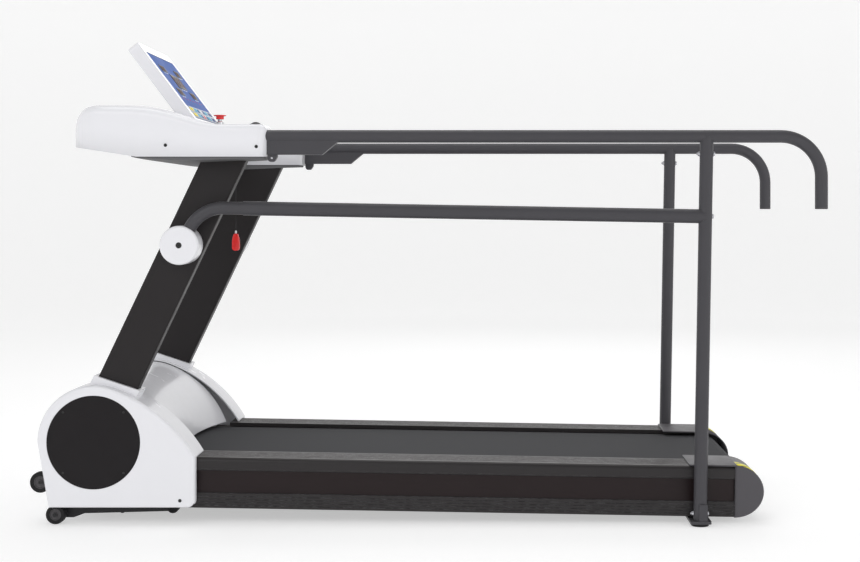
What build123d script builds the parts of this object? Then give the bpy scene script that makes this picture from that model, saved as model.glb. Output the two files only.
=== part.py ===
"""Motor-driven rehabilitation treadmill with a console, double handrails and an incline lift frame.

Millimetres. +Z is up, the floor is Z = 0. The walker faces -X, so -Y is the walker's left hand.
The walking deck and everything along it falls by deck_fall towards the rear, so those pieces are
drawn in the deck's own plane: u runs along the deck, v stands up from the side rails' underside.
Right-hand pieces are drawn on +Y and mirrored for the left.
"""
import os
from math import cos, hypot, radians, sin, tan

from build123d import *

os.makedirs("parts", exist_ok=True)

# ---------------------------------------------------------------- running clearances
slip = 0.3           # between surfaces that slide or turn past each other
shaft_fit = 0.05     # radial, shaft in its bearing or bush
cover_gap = 1.5      # plastic covers round metalwork
seat_gap = 0.1       # tube slipped inside a tube
belt_gap = 18.0      # belt edge to the side rail's lip
board_bearing = 60.0 # board past the belt, under the side rails

# ---------------------------------------------------------------- deck
deck_fall = 1.0              # degrees, nose high on the lift wheels
deck_x = -690.0              # side rail underside at the rear face of the hood
deck_z = 47.0
deck_front_u = -30.0         # side rails start inside the hood
deck_rear_u = 1601.0         # side rails end at the end caps
rail_height = 150.0
rail_half = 405.0            # outer face of the side rails
rail_wall = 4.0
belt_half = 265.0
rail_inner = belt_half + belt_gap            # inner lip of the side rails
belt_thick = 2.5
belt_top_v = 138.0
board_half = belt_half + board_bearing
board_thick = 25.0
tube_inset = 16.0            # main frame tubes stand this far inside the lip
tube_inner = rail_inner + tube_inset
tube_wide = 38.0
tube_low_v = 30.0
tube_high = 55.0
tube_wall = 3.0
tube_front_u = -425.0
tube_rear_u = 1640.0
cross_us = (250.0, 780.0, 1310.0)
cross_wide = 40.0
cross_high = 20.0

# ---------------------------------------------------------------- rollers and drive
roller_r = 38.0
roller_half = belt_half + 3.0
front_roller_u = -146.0
rear_roller_u = 1610.0
axle_r = 10.0
axle_reach = tube_inner + tube_wide / 2
bearing_r = 17.5
bearing_wide = 12.0
pulley_wide = 20.0
pulley_start = roller_half + 2.0
roller_pulley_r = 52.0
motor_pulley_r = 26.0
drive_belt_thick = 4.0
motor_x = -1012.0
motor_z = 165.0
motor_r = 60.0
motor_start = 20.0
motor_end = 250.0
motor_shaft_r = 12.0
motor_cap = 24.0             # plain end of the finned housing
motor_foot = 90.0
motor_fins = 15

# ---------------------------------------------------------------- end caps
cap_depth = 88.0
cap_proud = 3.0              # above and below the side rail
cap_wall = 3.0
cap_lap = 48.0               # caps reach this far in over the belt
cap_inner = rail_inner - cap_lap
tongue_length = 136.0
tongue_thick = 4.0

# ---------------------------------------------------------------- hood
hood_half = rail_half + 25.0
hood_inner = tube_inner + 6.0
hood_wall = 4.0
hood_x = -991.5              # centre of the round front
hood_z = 245.0
hood_r = 168.0
hood_bottom = 50.0
hood_rear_x = -690.0
hood_rear_z = 202.0
hood_front_x = -1126.0
hood_turn = 70.0             # degrees, where the round front meets the long back slope
hood_edge = 10.0
centre_drop = 6.0            # centre hood below the side covers
arch_depth = 50.0            # how far the centre hood's rear edge is scooped
centre_rear_x = -728.0
disc_r = 138.5
disc_thick = 2.4
disc_pocket = 2.0

# ---------------------------------------------------------------- uprights
upright_outer = 385.0
upright_thick = 48.0
upright_wide = 122.0
upright_lean = 25.4          # degrees from vertical
upright_x = -931.6           # a point on the centreline
upright_z = 413.7
upright_wall = 3.5
upright_low_z = 150.0
upright_high_z = 1140.0
upright_round = 5.0
crossbar_side = 40.0
crossbar_wall = 3.0
crossbar_z = 350.0
ram_lug = 6.0                # lugs on the crossbar that hold the ram's top
console_bar_wide = 60.0
console_bar_rise = 23.0      # above the console's lower edge
collar_rim = 10.0
collar_fall = 18.5           # degrees, slope of the collar's mouth

# ---------------------------------------------------------------- handrails
rail_y = 430.0
top_rail_r = 19.0
top_rail_z = 1151.4
top_rail_front_x = -640.0
hook_x = 1164.0
hook_bend = 120.0
hook_end_z = 941.0
gusset_front_x = -600.0
gusset_rear_x = -313.0
gusset_low_z = 1097.0
gusset_thick = 26.0
low_rail_r = 21.0
low_rail_v = 894.0
low_elbow_r = 19.0
low_sleeve_u = 127.0         # where the elbow slides into the straight tube
low_bend = 113.0
low_bend_angle = 62.0
hub_u = -57.2
hub_v = 781.5
hub_r = 58.0
hub_outer = rail_y + 25.0
post_r = 20.0
post_wall = 2.5
post_x = 804.5               # at the floor
stub_long = 70.0
tube_skin = 2.5
plug_proud = 5.0
plug_deep = 25.0

# ---------------------------------------------------------------- rear support
bar_wide = 62.0
bar_low_z = 8.0
bar_thick = 8.0
bar_half = rail_y + 28.0
pad_r = 26.0
socket_long = 60.0

# ---------------------------------------------------------------- lift frame
pivot_x = -763.0
pivot_z = 47.0
pivot_r = 15.0
lift_x = -1108.0
lift_wheel_r = 28.5
lift_wheel_mid = rail_half
lift_wheel_wide = 28.0
arm_outer = 384.0
arm_thick = 12.0
lug_r = 18.0
hanger_wall = 8.0            # cheeks of the pivot brackets
hanger_gap = 14.0            # a cheek's outer face past what it stands beside
arm_kink_x = -1062.0         # the arm steps down here to the wheel's axle
arm_low_z = 14.0
tie_r = 9.0
tie_x = -1050.0
lift_axle_r = 6.0
lift_hub_r = 14.5
fork_wall = 10.0             # two lugs that hold the rod's eye
fork_half = 22.0
tyre_round = 4.0
ram_pin_x = -920.0
ram_pin_z = 62.0
ram_pin_r = 6.0
lift_tube_z = 33.0
ram_top_x = -915.0
ram_top_z = 335.0
ram_play = 3.5               # open pivot: the eye is this much wider than its pin
ram_tube_r = 22.0
ram_rod_r = 11.0
ram_eye_r = 15.0
ram_eye_half = 14.0
ram_pin_top_r = 6.0
ram_start = 30.0             # gearbox starts this far down the ram
ram_gear_high = 42.0
ram_neck = 20.0
ram_tube_long = 138.0
ram_motor_r = 29.0
ram_motor_off = 64.0         # the ram's motor stands beside its tube
ram_motor_long = 95.0

# ---------------------------------------------------------------- transport wheels
tip_x = -1153.0
tip_z = 124.4
tip_r = 31.0
tip_mid = rail_half + 2.0
tip_wide = 24.0
tip_axle_r = 5.0
tip_round = 5.0
tip_plate = 6.0
tip_plate_long = 130.0

# ---------------------------------------------------------------- console
console_half = rail_y + 30.0
arm_inner = 327.0
console_nose_x = -1061.0
console_rear_x = -475.6
centre_rear_edge_x = -674.0
console_low_z = 1090.5
console_flat_z = 1187.0
console_high_z = 1247.0
console_wall = 4.0
nose_corner = 106.0
tray_thick = 6.0
screen_lean = 52.9           # degrees from horizontal
screen_x = -711.0            # foot of the face on the console
screen_long = 340.0
screen_half = 210.0
screen_thick = 40.0
panel_half = 186.0
panel_low = 44.0
panel_high = 305.0
panel_thick = 2.0
estop_x = -698.0
dome_x = -511.0
dome_y = rail_y - 5.0
dome_r = 16.0
key_z = 1150.0
key_r = 17.0
clip_high = 55.0             # jaws of the clothing clip
clip_half = 12.0
clip_jaw_half = 7.0          # mouth and thickness of the closed jaws
clip_jaw_thick = 5.0
clip_shoulder = 30.0
clip_neck = 3.0
clip_neck_r = 3.2
clip_pin_r = 3.0
clip_pin_drop = 20.0
cord_r = 1.25
estop_seat_z = 1205.0
estop_r = 20.5
estop_stem_r = 7.0
estop_skirt_r = 19.0
estop_neck_r = 14.0
estop_neck_high = 16.0
estop_head_low = 24.0        # above the seat
estop_head_high = 38.0
dome_proud = 7.5
screen_wall = 3.0
tray_drop = 5.0
tray_front_x = -855.0
clip_top_z = 859.0           # where the cord ends in the clip's neck
inlet_y = -170.0
switch_y = -120.0
inlet_up = 125.0
inlet_wide = 50.0
inlet_high = 28.0
bezel_thick = 2.5            # round the inlet and the switch
switch_wide = 16.0
switch_high = 24.0
switch_wall = 1.2
rocker_wide = 13.0
cover_screw_r = 4.0
cover_screw_high = 1.2
hood_screw = (-735.0, 73.0)
console_screws = ((-771.0, 1124.0), (-504.0, 1120.0))
rocker_keel_r = 5.0          # round back the rocker turns on
cord_x = -646.0              # where the safety cord hangs
key_lug_r = 5.0              # nose of the key that the cord is tied to

# ---------------------------------------------------------------- planes
fall = radians(deck_fall)
deck = Plane(origin=(deck_x, 0, deck_z), x_dir=(cos(fall), 0, -sin(fall)), z_dir=(sin(fall), 0, cos(fall)))


def side(y):
    """Side view at station y: x is X, y is Z, and it extrudes towards -Y."""
    return Plane(origin=(0, y, 0), x_dir=(1, 0, 0), z_dir=(0, -1, 0))


def deck_side(y):
    """Side view in deck coordinates at station y, extruding towards -Y."""
    return Plane(origin=deck.from_local_coords((0, y, 0)), x_dir=deck.x_dir, z_dir=(0, -1, 0))


def deck_section(u):
    """Cross-section of the deck at u: x is Y, y is v, and it extrudes to the rear."""
    return Plane(origin=deck.from_local_coords((u, 0, 0)), x_dir=(0, 1, 0), z_dir=deck.x_dir)


def keep(piece, name):
    """Label a finished piece and write it."""
    piece.part.label = name
    export_step(piece.part, f"parts/{name}.step")


def keep_pair(piece, name):
    """Write a piece drawn on +Y as the right one, and its mirror image as the left one."""
    with BuildPart() as twin:
        mirror(piece.part, about=Plane.XZ)
    keep(piece, name + "_right")
    keep(twin, name + "_left")


def keep_both(piece, name):
    """Write a piece drawn on +Y and its mirror image as one node of separate solids."""
    with BuildPart() as both:
        add(piece.part)
        mirror(piece.part, about=Plane.XZ)
    keep(both, name)


def deck_point(u, y, v):
    """The world point at deck coordinates u, y and v."""
    return deck.from_local_coords((u, y, v))


# ================================================================ main frame
roller_v = belt_top_v - belt_thick - slip - roller_r
tube_top_v = tube_low_v + tube_high
tube_outer = tube_inner + tube_wide
upright_inner = upright_outer - upright_thick
lean = radians(upright_lean)


def make_frame_rails():
    """Box tube with the upright's mounting plate and the two axle plates welded on."""
    plate_thick = 8.0
    with BuildPart() as frame_rail:
        with BuildSketch(deck_section(tube_front_u)):
            with Locations((tube_inner + tube_wide / 2, tube_low_v + tube_high / 2)):
                Rectangle(tube_wide, tube_high)
                Rectangle(tube_wide - 2 * tube_wall, tube_high - 2 * tube_wall, mode=Mode.SUBTRACT)
        extrude(amount=tube_rear_u - tube_front_u)
        with BuildSketch(deck_side(tube_outer)):
            with Locations((-330, tube_top_v + 80)):
                Rectangle(120, 160)
        extrude(amount=12)
        with BuildSketch(deck_side(tube_inner + plate_thick + 7)):
            for u in (front_roller_u, rear_roller_u - 6):
                with Locations((u, tube_top_v + 20)):
                    Rectangle(44, 40)
        extrude(amount=plate_thick)
        with BuildSketch(deck_side(tube_outer + 1)):
            with Locations((front_roller_u, roller_v), (rear_roller_u, roller_v)):
                Circle(axle_r + seat_gap)
        extrude(amount=tube_wide + 2, mode=Mode.SUBTRACT)
    keep_both(frame_rail, "frame_rails")


def make_crossmembers():
    """Cross tubes inside the belt loop, the nose tube and the motor plate, welded between the rails."""
    low_v = roller_v - roller_r - slip - belt_thick + 8
    with BuildPart() as crossmembers:
        with BuildSketch(deck_side(tube_inner)):
            for u in cross_us:
                with Locations((u, low_v + cross_high / 2)):
                    Rectangle(cross_wide, cross_high)
                    Rectangle(cross_wide - 6, cross_high - 6, mode=Mode.SUBTRACT)
            with Locations((tube_front_u + 20, tube_low_v + tube_high / 2)):
                Rectangle(40, tube_high)
                Rectangle(34, tube_high - 6, mode=Mode.SUBTRACT)
            with Locations((tube_front_u + 105, tube_low_v + 4)):
                Rectangle(130, 8)
        extrude(amount=2 * tube_inner)
    keep(crossmembers, "frame_crossmembers")


def make_rear_crossbar():
    """Flat bar under the deck that carries the rear posts, with sockets, tabs and spacers."""
    top_z = bar_low_z + bar_thick
    lean_plane = Plane(origin=(post_x, rail_y, 0), x_dir=deck.x_dir, z_dir=deck.z_dir)
    with BuildPart() as bar:
        with BuildSketch(Plane.XY.offset(bar_low_z)):
            with Locations((post_x, 0)):
                RectangleRounded(bar_wide, 2 * bar_half, 8)
        extrude(amount=bar_thick)
        with BuildSketch(Plane.XY.offset(top_z)):
            with Locations((post_x, tube_inner + tube_wide / 2)):
                Rectangle(50, tube_wide)
        extrude(amount=deck_point(post_x - deck_x, 0, tube_low_v).Z - top_z - 0.5)
        with BuildSketch(lean_plane.offset(bar_low_z + bar_thick / 2)):
            Circle(post_r - post_wall - seat_gap)
            Circle(post_r - post_wall - seat_gap - 3, mode=Mode.SUBTRACT)
        extrude(amount=socket_long)
        with BuildSketch(Plane(origin=(post_x + 7, rail_y + post_r + 5, top_z), x_dir=(1, 0, 0), z_dir=(0, -1, 0))):
            with Locations((0, 22)):
                RectangleRounded(25, 54, 3)
        extrude(amount=4)
        split(bisect_by=Plane.XZ.offset(0), keep=Keep.BOTTOM)
        mirror(about=Plane.XZ)
    keep(bar, "rear_crossbar")
    with BuildPart() as pad:
        with BuildSketch(Plane.XY):
            with Locations((post_x, rail_y)):
                Circle(pad_r)
        extrude(amount=bar_low_z, taper=4)
        fillet(pad.faces().sort_by(Axis.Z)[0].edges(), 1)
    keep_both(pad, "rear_feet")


# ================================================================ deck
def make_side_rails():
    """Extruded side rail: grooved tread on top, a rounded bead, a flat recess and ribs below it."""
    face = rail_half - 5
    rib = rail_half - 1
    bead_low = rail_height - 37
    recess_low = 44.0
    skin = rail_half - 5 - rail_wall
    with BuildPart() as side_rail:
        with BuildSketch(deck_section(deck_front_u)):
            with BuildLine():
                top = Line((rail_inner, rail_height), (rail_half - 14, rail_height))
                bead = TangentArc(top @ 1, (rail_half, rail_height - 16), tangent=(1, 0))
                Polyline(
                    bead @ 1, (rail_half, bead_low + 3), (rail_half - 2, bead_low), (face, bead_low),
                    (face, recess_low), (rib, recess_low), (rib, 0), (rail_half - 45, 0),
                    (rail_half - 45, rail_wall), (skin, rail_wall), (skin, rail_height - rail_wall),
                    (rail_inner + rail_wall, rail_height - rail_wall), (rail_inner + rail_wall, belt_top_v - 1),
                    (rail_inner, belt_top_v - 1), top @ 0,
                )
            make_face()
            with Locations((rib, recess_low / 2)):
                with GridLocations(0, 9, 1, 4):
                    Rectangle(4, 2.6, mode=Mode.SUBTRACT)
            with Locations(((rail_inner + rail_half - 14) / 2 + 1, rail_height)):
                with GridLocations(9, 0, 11, 1):
                    Rectangle(4, 2.4, mode=Mode.SUBTRACT)
        extrude(amount=deck_rear_u - deck_front_u)
    keep_pair(side_rail, "side_rail")


def make_rail_brackets():
    """Angle brackets that hang the side rails on the frame tubes."""
    skin = rail_half - 5 - rail_wall
    with BuildPart() as brackets:
        with BuildSketch(deck_section(60)):
            with Locations(((tube_outer + skin) / 2, 60)):
                Rectangle(skin - tube_outer, 5)
            with Locations((skin - 2.5, 75)):
                Rectangle(5, 35)
        extrude(amount=60)
        for u in (500, 1000, 1480):
            with BuildSketch(deck_section(u)):
                with Locations(((tube_outer + skin) / 2, 60)):
                    Rectangle(skin - tube_outer, 5)
                with Locations((skin - 2.5, 75)):
                    Rectangle(5, 35)
            extrude(amount=60)
        mirror(about=Plane.XZ)
    keep(brackets, "side_rail_brackets")


def make_running_deck():
    """Board the belt slides on, its rubber cushions and the belt."""
    board_low_v = belt_top_v - belt_thick - 2 * slip - board_thick
    board_front = front_roller_u + roller_pulley_r + slip + drive_belt_thick + 4
    board_rear = rear_roller_u - roller_r - 14
    with BuildPart() as board:
        with BuildSketch(deck_side(board_half)):
            with Locations(((board_front + board_rear) / 2, board_low_v + board_thick / 2)):
                RectangleRounded(board_rear - board_front, board_thick, 8)
        extrude(amount=2 * board_half)
    keep(board, "running_board")
    with BuildPart() as cushions:
        with BuildSketch(deck.offset(tube_top_v)):
            with Locations(((board_front + board_rear) / 2, 0)):
                with GridLocations((board_rear - board_front - 160) / 4, 2 * (tube_inner + 15), 5, 2):
                    Circle(11)
        extrude(amount=board_low_v - tube_top_v)
    keep(cushions, "deck_cushions")
    span = rear_roller_u - front_roller_u
    with BuildPart() as belt:
        with BuildSketch(deck_side(belt_half)):
            with Locations(((rear_roller_u + front_roller_u) / 2, roller_v)):
                SlotCenterToCenter(span, 2 * (roller_r + slip + belt_thick))
                SlotCenterToCenter(span, 2 * (roller_r + slip), mode=Mode.SUBTRACT)
        extrude(amount=2 * belt_half)
    keep(belt, "running_belt")


def make_end_caps():
    """Round-backed cap open to the belt, with a tongue over the end of the side rail."""
    mid_v = rail_height / 2
    tall = mid_v + cap_proud
    outer = rail_half + 2
    with BuildPart() as cap:
        with BuildSketch(deck_side(outer)):
            with Locations((deck_rear_u, mid_v)):
                Ellipse(cap_depth, tall)
        extrude(amount=outer - cap_inner)
        with BuildSketch(deck_side(outer - cap_wall)):
            with Locations((deck_rear_u, mid_v)):
                Ellipse(cap_depth - cap_wall, tall - cap_wall)
        extrude(amount=outer - cap_inner, mode=Mode.SUBTRACT)
        split(bisect_by=Plane(origin=deck_point(deck_rear_u, 0, 0), z_dir=deck.x_dir), keep=Keep.TOP)
        with BuildSketch(deck.offset(rail_height)):
            with Locations((deck_rear_u - tongue_length / 2, (outer - 2 + cap_inner) / 2)):
                Rectangle(tongue_length, outer - 2 - cap_inner)
        extrude(amount=tongue_thick)
        tip = cap.edges().filter_by(Axis.Y).sort_by(Axis.X)[:2]
        chamfer(tip.sort_by(Axis.Z)[-1], tongue_thick - 1.5)
    keep_both(cap, "end_caps")


# ================================================================ rollers and drive
def make_rollers():
    """Crowned-off steel rollers on fixed axles, with ball bearings; the front one carries the pulley."""
    for name, u in (("front", front_roller_u), ("rear", rear_roller_u)):
        with BuildPart() as roller:
            with BuildSketch(deck_side(roller_half)):
                with Locations((u, roller_v)):
                    Circle(roller_r)
                    Circle(bearing_r + 0.5, mode=Mode.SUBTRACT)
            extrude(amount=2 * roller_half)
            for outer in (roller_half, -roller_half + bearing_wide):
                with BuildSketch(deck_side(outer)):
                    with Locations((u, roller_v)):
                        Circle(bearing_r + 1)
                        Circle(bearing_r + shaft_fit, mode=Mode.SUBTRACT)
                extrude(amount=bearing_wide)
            if name == "front":
                with BuildSketch(deck_side(pulley_start + pulley_wide)):
                    with Locations((u, roller_v)):
                        Circle(roller_pulley_r)
                        Circle(bearing_r + shaft_fit, mode=Mode.SUBTRACT)
                extrude(amount=pulley_wide)
                with BuildSketch(deck_side(pulley_start)):
                    with Locations((u, roller_v)):
                        Circle(roller_r - 6)
                        Circle(bearing_r + shaft_fit, mode=Mode.SUBTRACT)
                extrude(amount=pulley_start - roller_half)
        keep(roller, name + "_roller")
    with BuildPart() as bearings:
        for u in (front_roller_u, rear_roller_u):
            for outer in (roller_half, -roller_half + bearing_wide):
                with BuildSketch(deck_side(outer)):
                    with Locations((u, roller_v)):
                        Circle(bearing_r)
                        Circle(axle_r + shaft_fit, mode=Mode.SUBTRACT)
                extrude(amount=bearing_wide)
    keep(bearings, "roller_bearings")
    with BuildPart() as axles:
        for u in (front_roller_u, rear_roller_u):
            with BuildSketch(deck_side(axle_reach)):
                with Locations((u, roller_v)):
                    Circle(axle_r)
            extrude(amount=2 * axle_reach)
    keep(axles, "roller_axles")


def make_drive():
    """Motor with feet, its rotor shaft with pulley, the drive belt and the controller box."""
    bore = motor_shaft_r + shaft_fit
    plate_top = deck_point(tube_front_u + 105, 0, tube_low_v + 8).Z + 2
    with BuildPart() as housing:
        with BuildSketch(side(motor_end)):
            with Locations((motor_x, motor_z)):
                Circle(motor_r)
            with Locations((motor_x, (motor_z + plate_top) / 2)):
                Rectangle(motor_foot, motor_z - plate_top)
        extrude(amount=motor_end - motor_start)
        with BuildSketch(side(motor_end - motor_cap)):
            with Locations((motor_x, motor_z)):
                with PolarLocations(motor_r, motor_fins, start_angle=-12, angular_range=204, endpoint=True):
                    Rectangle(9, 3)
        extrude(amount=motor_end - motor_start - 2 * motor_cap)
        with BuildSketch(side(motor_end + 1)):
            with Locations((motor_x, motor_z)):
                Circle(bore)
        extrude(amount=motor_end - motor_start - 8, mode=Mode.SUBTRACT)
    keep(housing, "motor_housing")
    with BuildPart() as rotor:
        with BuildSketch(side(pulley_start + pulley_wide)):
            with Locations((motor_x, motor_z)):
                Circle(motor_pulley_r)
        extrude(amount=pulley_wide)
        with BuildSketch(side(pulley_start)):
            with Locations((motor_x, motor_z)):
                Circle(motor_shaft_r)
        extrude(amount=pulley_start - motor_start - 10)
    keep(rotor, "motor_rotor")
    roller_at = deck_point(front_roller_u, 0, roller_v)
    with BuildPart() as drive_belt:
        with BuildSketch(side(pulley_start + pulley_wide - 1)):
            with Locations((roller_at.X, roller_at.Z)):
                Circle(roller_pulley_r + slip + drive_belt_thick)
            with Locations((motor_x, motor_z)):
                Circle(motor_pulley_r + slip + drive_belt_thick)
            make_hull()
        extrude(amount=pulley_wide - 2)
        with BuildSketch(side(pulley_start + pulley_wide)):
            with Locations((roller_at.X, roller_at.Z)):
                Circle(roller_pulley_r + slip)
            with Locations((motor_x, motor_z)):
                Circle(motor_pulley_r + slip)
            make_hull()
        extrude(amount=pulley_wide, mode=Mode.SUBTRACT)
    keep(drive_belt, "drive_belt")
    with BuildPart() as controller:
        with BuildSketch(Plane.XY.offset(plate_top)):
            with Locations((motor_x + 8, -170)):
                RectangleRounded(112, 190, 4)
        extrude(amount=75)
        with BuildSketch(Plane.XY.offset(plate_top + 75)):
            with Locations((motor_x + 8, -170)):
                with GridLocations(0, 12, 1, 13):
                    Rectangle(100, 3)
        extrude(amount=22)
    keep(controller, "motor_controller")


# ================================================================ hood
def hood_outline(inset=0.0, rear_x=hood_rear_x, drop=0.0):
    """Closed side outline of the hood, moved in by inset all round and cut off square at the rear."""
    r = hood_r - inset
    turn = radians(hood_turn)
    top = (hood_x + r * cos(turn), hood_z + r * sin(turn))
    rear = (rear_x - inset, hood_rear_z - inset * 0.7)
    slant = (hood_front_x - hood_x + hood_r) / (hood_z - hood_bottom)
    front = Line((hood_front_x + inset + slant * drop, hood_bottom - drop), (hood_x - r, hood_z))
    round_front = RadiusArc(front @ 1, top, r, short_sagitta=True)
    slope = TangentArc(top, rear, tangent=(sin(turn), -cos(turn)))
    return front, round_front, slope


def make_hood_sides():
    """Side cover shell with a socket round the upright, a shallow round pocket and a slot for the tip wheel."""
    corner = 24.0
    with BuildPart() as cover:
        with BuildSketch(side(hood_half)) as outer:
            with BuildLine():
                front, _, slope = hood_outline()
                Polyline(slope @ 1, (hood_rear_x, hood_bottom), front @ 0)
            make_face()
            fillet(outer.vertices().sort_by(Axis.X)[-2:].sort_by(Axis.Z)[0], corner)
        extrude(amount=hood_half - hood_inner)
        fillet(cover.faces().sort_by(Axis.Y)[-1].edges().filter_by(lambda e: e.center().Z > hood_bottom + 5), hood_edge)
        socket = upright_prism(collar_rim, 322.0, 400.0, collar_long=True)
        add(socket)
        with BuildSketch(side(hood_half - hood_wall)):
            with BuildLine():
                front, _, slope = hood_outline(hood_wall, drop=30)
                Polyline(slope @ 1, (hood_rear_x - hood_wall, hood_bottom - 30), front @ 0)
            make_face()
        extrude(amount=hood_half - hood_inner, mode=Mode.SUBTRACT)
        add(upright_prism(cover_gap, upright_inner - cover_gap, upright_outer + cover_gap), mode=Mode.SUBTRACT)
        with BuildSketch(side(hood_half + 1)):
            with Locations((hood_x, hood_z)):
                Circle(disc_r + slip)
        extrude(amount=disc_pocket + 1, mode=Mode.SUBTRACT)
        rail_top = deck_point(0, 0, rail_height).Z + cover_gap
        with BuildSketch(side(rail_half + cover_gap)):
            with Locations((hood_rear_x - 10, rail_top - 90)):
                Rectangle(60, 180)
        extrude(amount=rail_half, mode=Mode.SUBTRACT)
        slot_outer = tip_mid + tip_wide / 2 + 3
        with BuildSketch(side(slot_outer)):
            with Locations((tip_x, tip_z)):
                Circle(tip_r + 5)
        extrude(amount=slot_outer - upright_outer + cover_gap, mode=Mode.SUBTRACT)
        arch_outer = lift_wheel_mid + lift_wheel_wide / 2 + 4
        with BuildSketch(side(arch_outer)):
            with Locations((lift_x, lift_wheel_r)):
                Circle(lift_wheel_r + 6)
        extrude(amount=lift_wheel_wide + 8, mode=Mode.SUBTRACT)
    keep_pair(cover, "hood_side")
    with BuildPart() as disc:
        with BuildSketch(side(hood_half - disc_pocket + disc_thick)):
            with Locations((hood_x, hood_z)):
                Circle(disc_r)
        extrude(amount=disc_thick)
        chamfer(disc.faces().sort_by(Axis.Y)[-1].edges(), 0.4)
    keep_both(disc, "hood_discs")


def upright_prism(rim, low_y, high_y, collar_long=False, reach=300):
    """Solid prism round an upright, rim wider each way; the collar one stops at its sloping mouth."""
    with BuildPart(mode=Mode.PRIVATE) as prism:
        with BuildSketch(side(high_y)):
            with BuildLine():
                half = upright_wide / 2 + rim
                along = (sin(lean), cos(lean))
                across = (cos(lean), -sin(lean))

                def at(s, t):
                    return (upright_x + along[0] * s + across[0] * t, upright_z + along[1] * s + across[1] * t)

                if collar_long:
                    rise = tan(radians(upright_lean - collar_fall)) * half
                    Polyline(at(-75, -half), at(4 - rise, -half), at(4 + rise, half), at(-75, half), close=True)
                else:
                    Polyline(at(-400, -half), at(reach, -half), at(reach, half), at(-400, half), close=True)
            make_face()
        extrude(amount=high_y - low_y)
    return prism.part


def hood_nose():
    """Plane on the centre hood's slanting front: x runs to the walker's left, y runs up the slope."""
    out = Vector(-(hood_z - hood_bottom), 0, hood_x - hood_r - hood_front_x).normalized()
    return Plane(origin=(hood_front_x + centre_drop, 0, hood_bottom), x_dir=(0, -1, 0), z_dir=out)


def make_hood_top():
    """Centre hood between the side covers, scooped along its rear edge so the belt shows."""
    def section(y, scoop, inset):
        with BuildSketch(side(y)) as profile:
            with BuildLine():
                low = inset > centre_drop
                front, _, slope = hood_outline(inset, centre_rear_x - scoop, drop=30 if low else -12)
                Polyline(slope @ 1, (centre_rear_x - scoop - inset, (front @ 0).Y), front @ 0)
            make_face()
        return profile.sketch

    half = hood_inner - 1
    with BuildPart() as hood:
        loft([section(half, 0, centre_drop), section(0, arch_depth, centre_drop), section(-half, 0, centre_drop)])
        hollow = centre_drop + hood_wall
        loft([section(half + 1, 0, hollow), section(0, arch_depth, hollow), section(-half - 1, 0, hollow)],
             mode=Mode.SUBTRACT)
        with BuildSketch(Plane.XY.offset(deck_point(0, 0, belt_top_v).Z + 12)):
            with Locations((hood_rear_x, 0)):
                Rectangle(260, 2 * half + 2)
        extrude(amount=-400, mode=Mode.SUBTRACT)
        with BuildSketch(hood_nose()):
            with Locations((inlet_y, inlet_up)):
                Rectangle(28, 21)
            with Locations((switch_y, inlet_up)):
                Rectangle(17, 25)
        extrude(amount=-30, mode=Mode.SUBTRACT)
    keep(hood, "hood_top")


# ================================================================ uprights
def make_uprights():
    """Aluminium box columns, the crossbar that ties them inside the hood, and the console's crossbar."""
    foot = Plane(
        origin=(upright_x - (upright_z - upright_low_z) * tan(lean), upright_inner + upright_thick / 2, upright_low_z),
        x_dir=(cos(lean), 0, -sin(lean)), z_dir=(sin(lean), 0, cos(lean)),
    )
    with BuildPart() as upright:
        with BuildSketch(foot):
            RectangleRounded(upright_wide, upright_thick, upright_round)
            RectangleRounded(upright_wide - 2 * upright_wall, upright_thick - 2 * upright_wall, 2, mode=Mode.SUBTRACT)
            with Locations((upright_wide / 2, 0), (-upright_wide / 2, 0)):
                with GridLocations(0, upright_thick - 18, 1, 2):
                    Rectangle(2, 3, mode=Mode.SUBTRACT)
        extrude(amount=(upright_high_z - upright_low_z) / cos(lean))
    keep_pair(upright, "upright")
    bar = crossbar_side
    bore = bar - 2 * crossbar_wall
    bar_x = upright_x + (crossbar_z - upright_z) * tan(lean)
    with BuildPart() as crossbar:
        with BuildSketch(side(upright_inner)):
            with Locations((bar_x, crossbar_z)):
                Rectangle(bar, bar)
                Rectangle(bore, bore, mode=Mode.SUBTRACT)
        extrude(amount=2 * upright_inner)
        for y in (fork_half, ram_lug - fork_half):
            with BuildSketch(side(y)):
                with BuildLine():
                    Polyline((bar_x + bar / 2, crossbar_z + 15), (bar_x + bar / 2, crossbar_z - 18),
                             (ram_top_x, ram_top_z - ram_eye_half),
                             (ram_top_x + 12, ram_top_z), (ram_top_x, ram_top_z + ram_eye_half), close=True)
                make_face()
            extrude(amount=ram_lug)
        with BuildSketch(side(fork_half)):
            with Locations((ram_top_x, ram_top_z)):
                Circle(ram_pin_top_r)
        extrude(amount=2 * fork_half)
        console_bar_z = console_low_z + console_bar_rise
        console_bar_x = centre_rear_edge_x - 34
        with BuildSketch(side(upright_inner - 5)):
            with Locations((console_bar_x, console_bar_z)):
                Rectangle(console_bar_wide, bar)
                Rectangle(console_bar_wide - 2 * crossbar_wall, bore, mode=Mode.SUBTRACT)
        extrude(amount=2 * (upright_inner - 5))
        for outer in (upright_inner, -upright_inner + 5):
            with BuildSketch(side(outer)):
                with Locations((console_bar_x + 40, console_bar_z)):
                    Rectangle(140, bar)
            extrude(amount=5)
    keep(crossbar, "crossbars")


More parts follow.
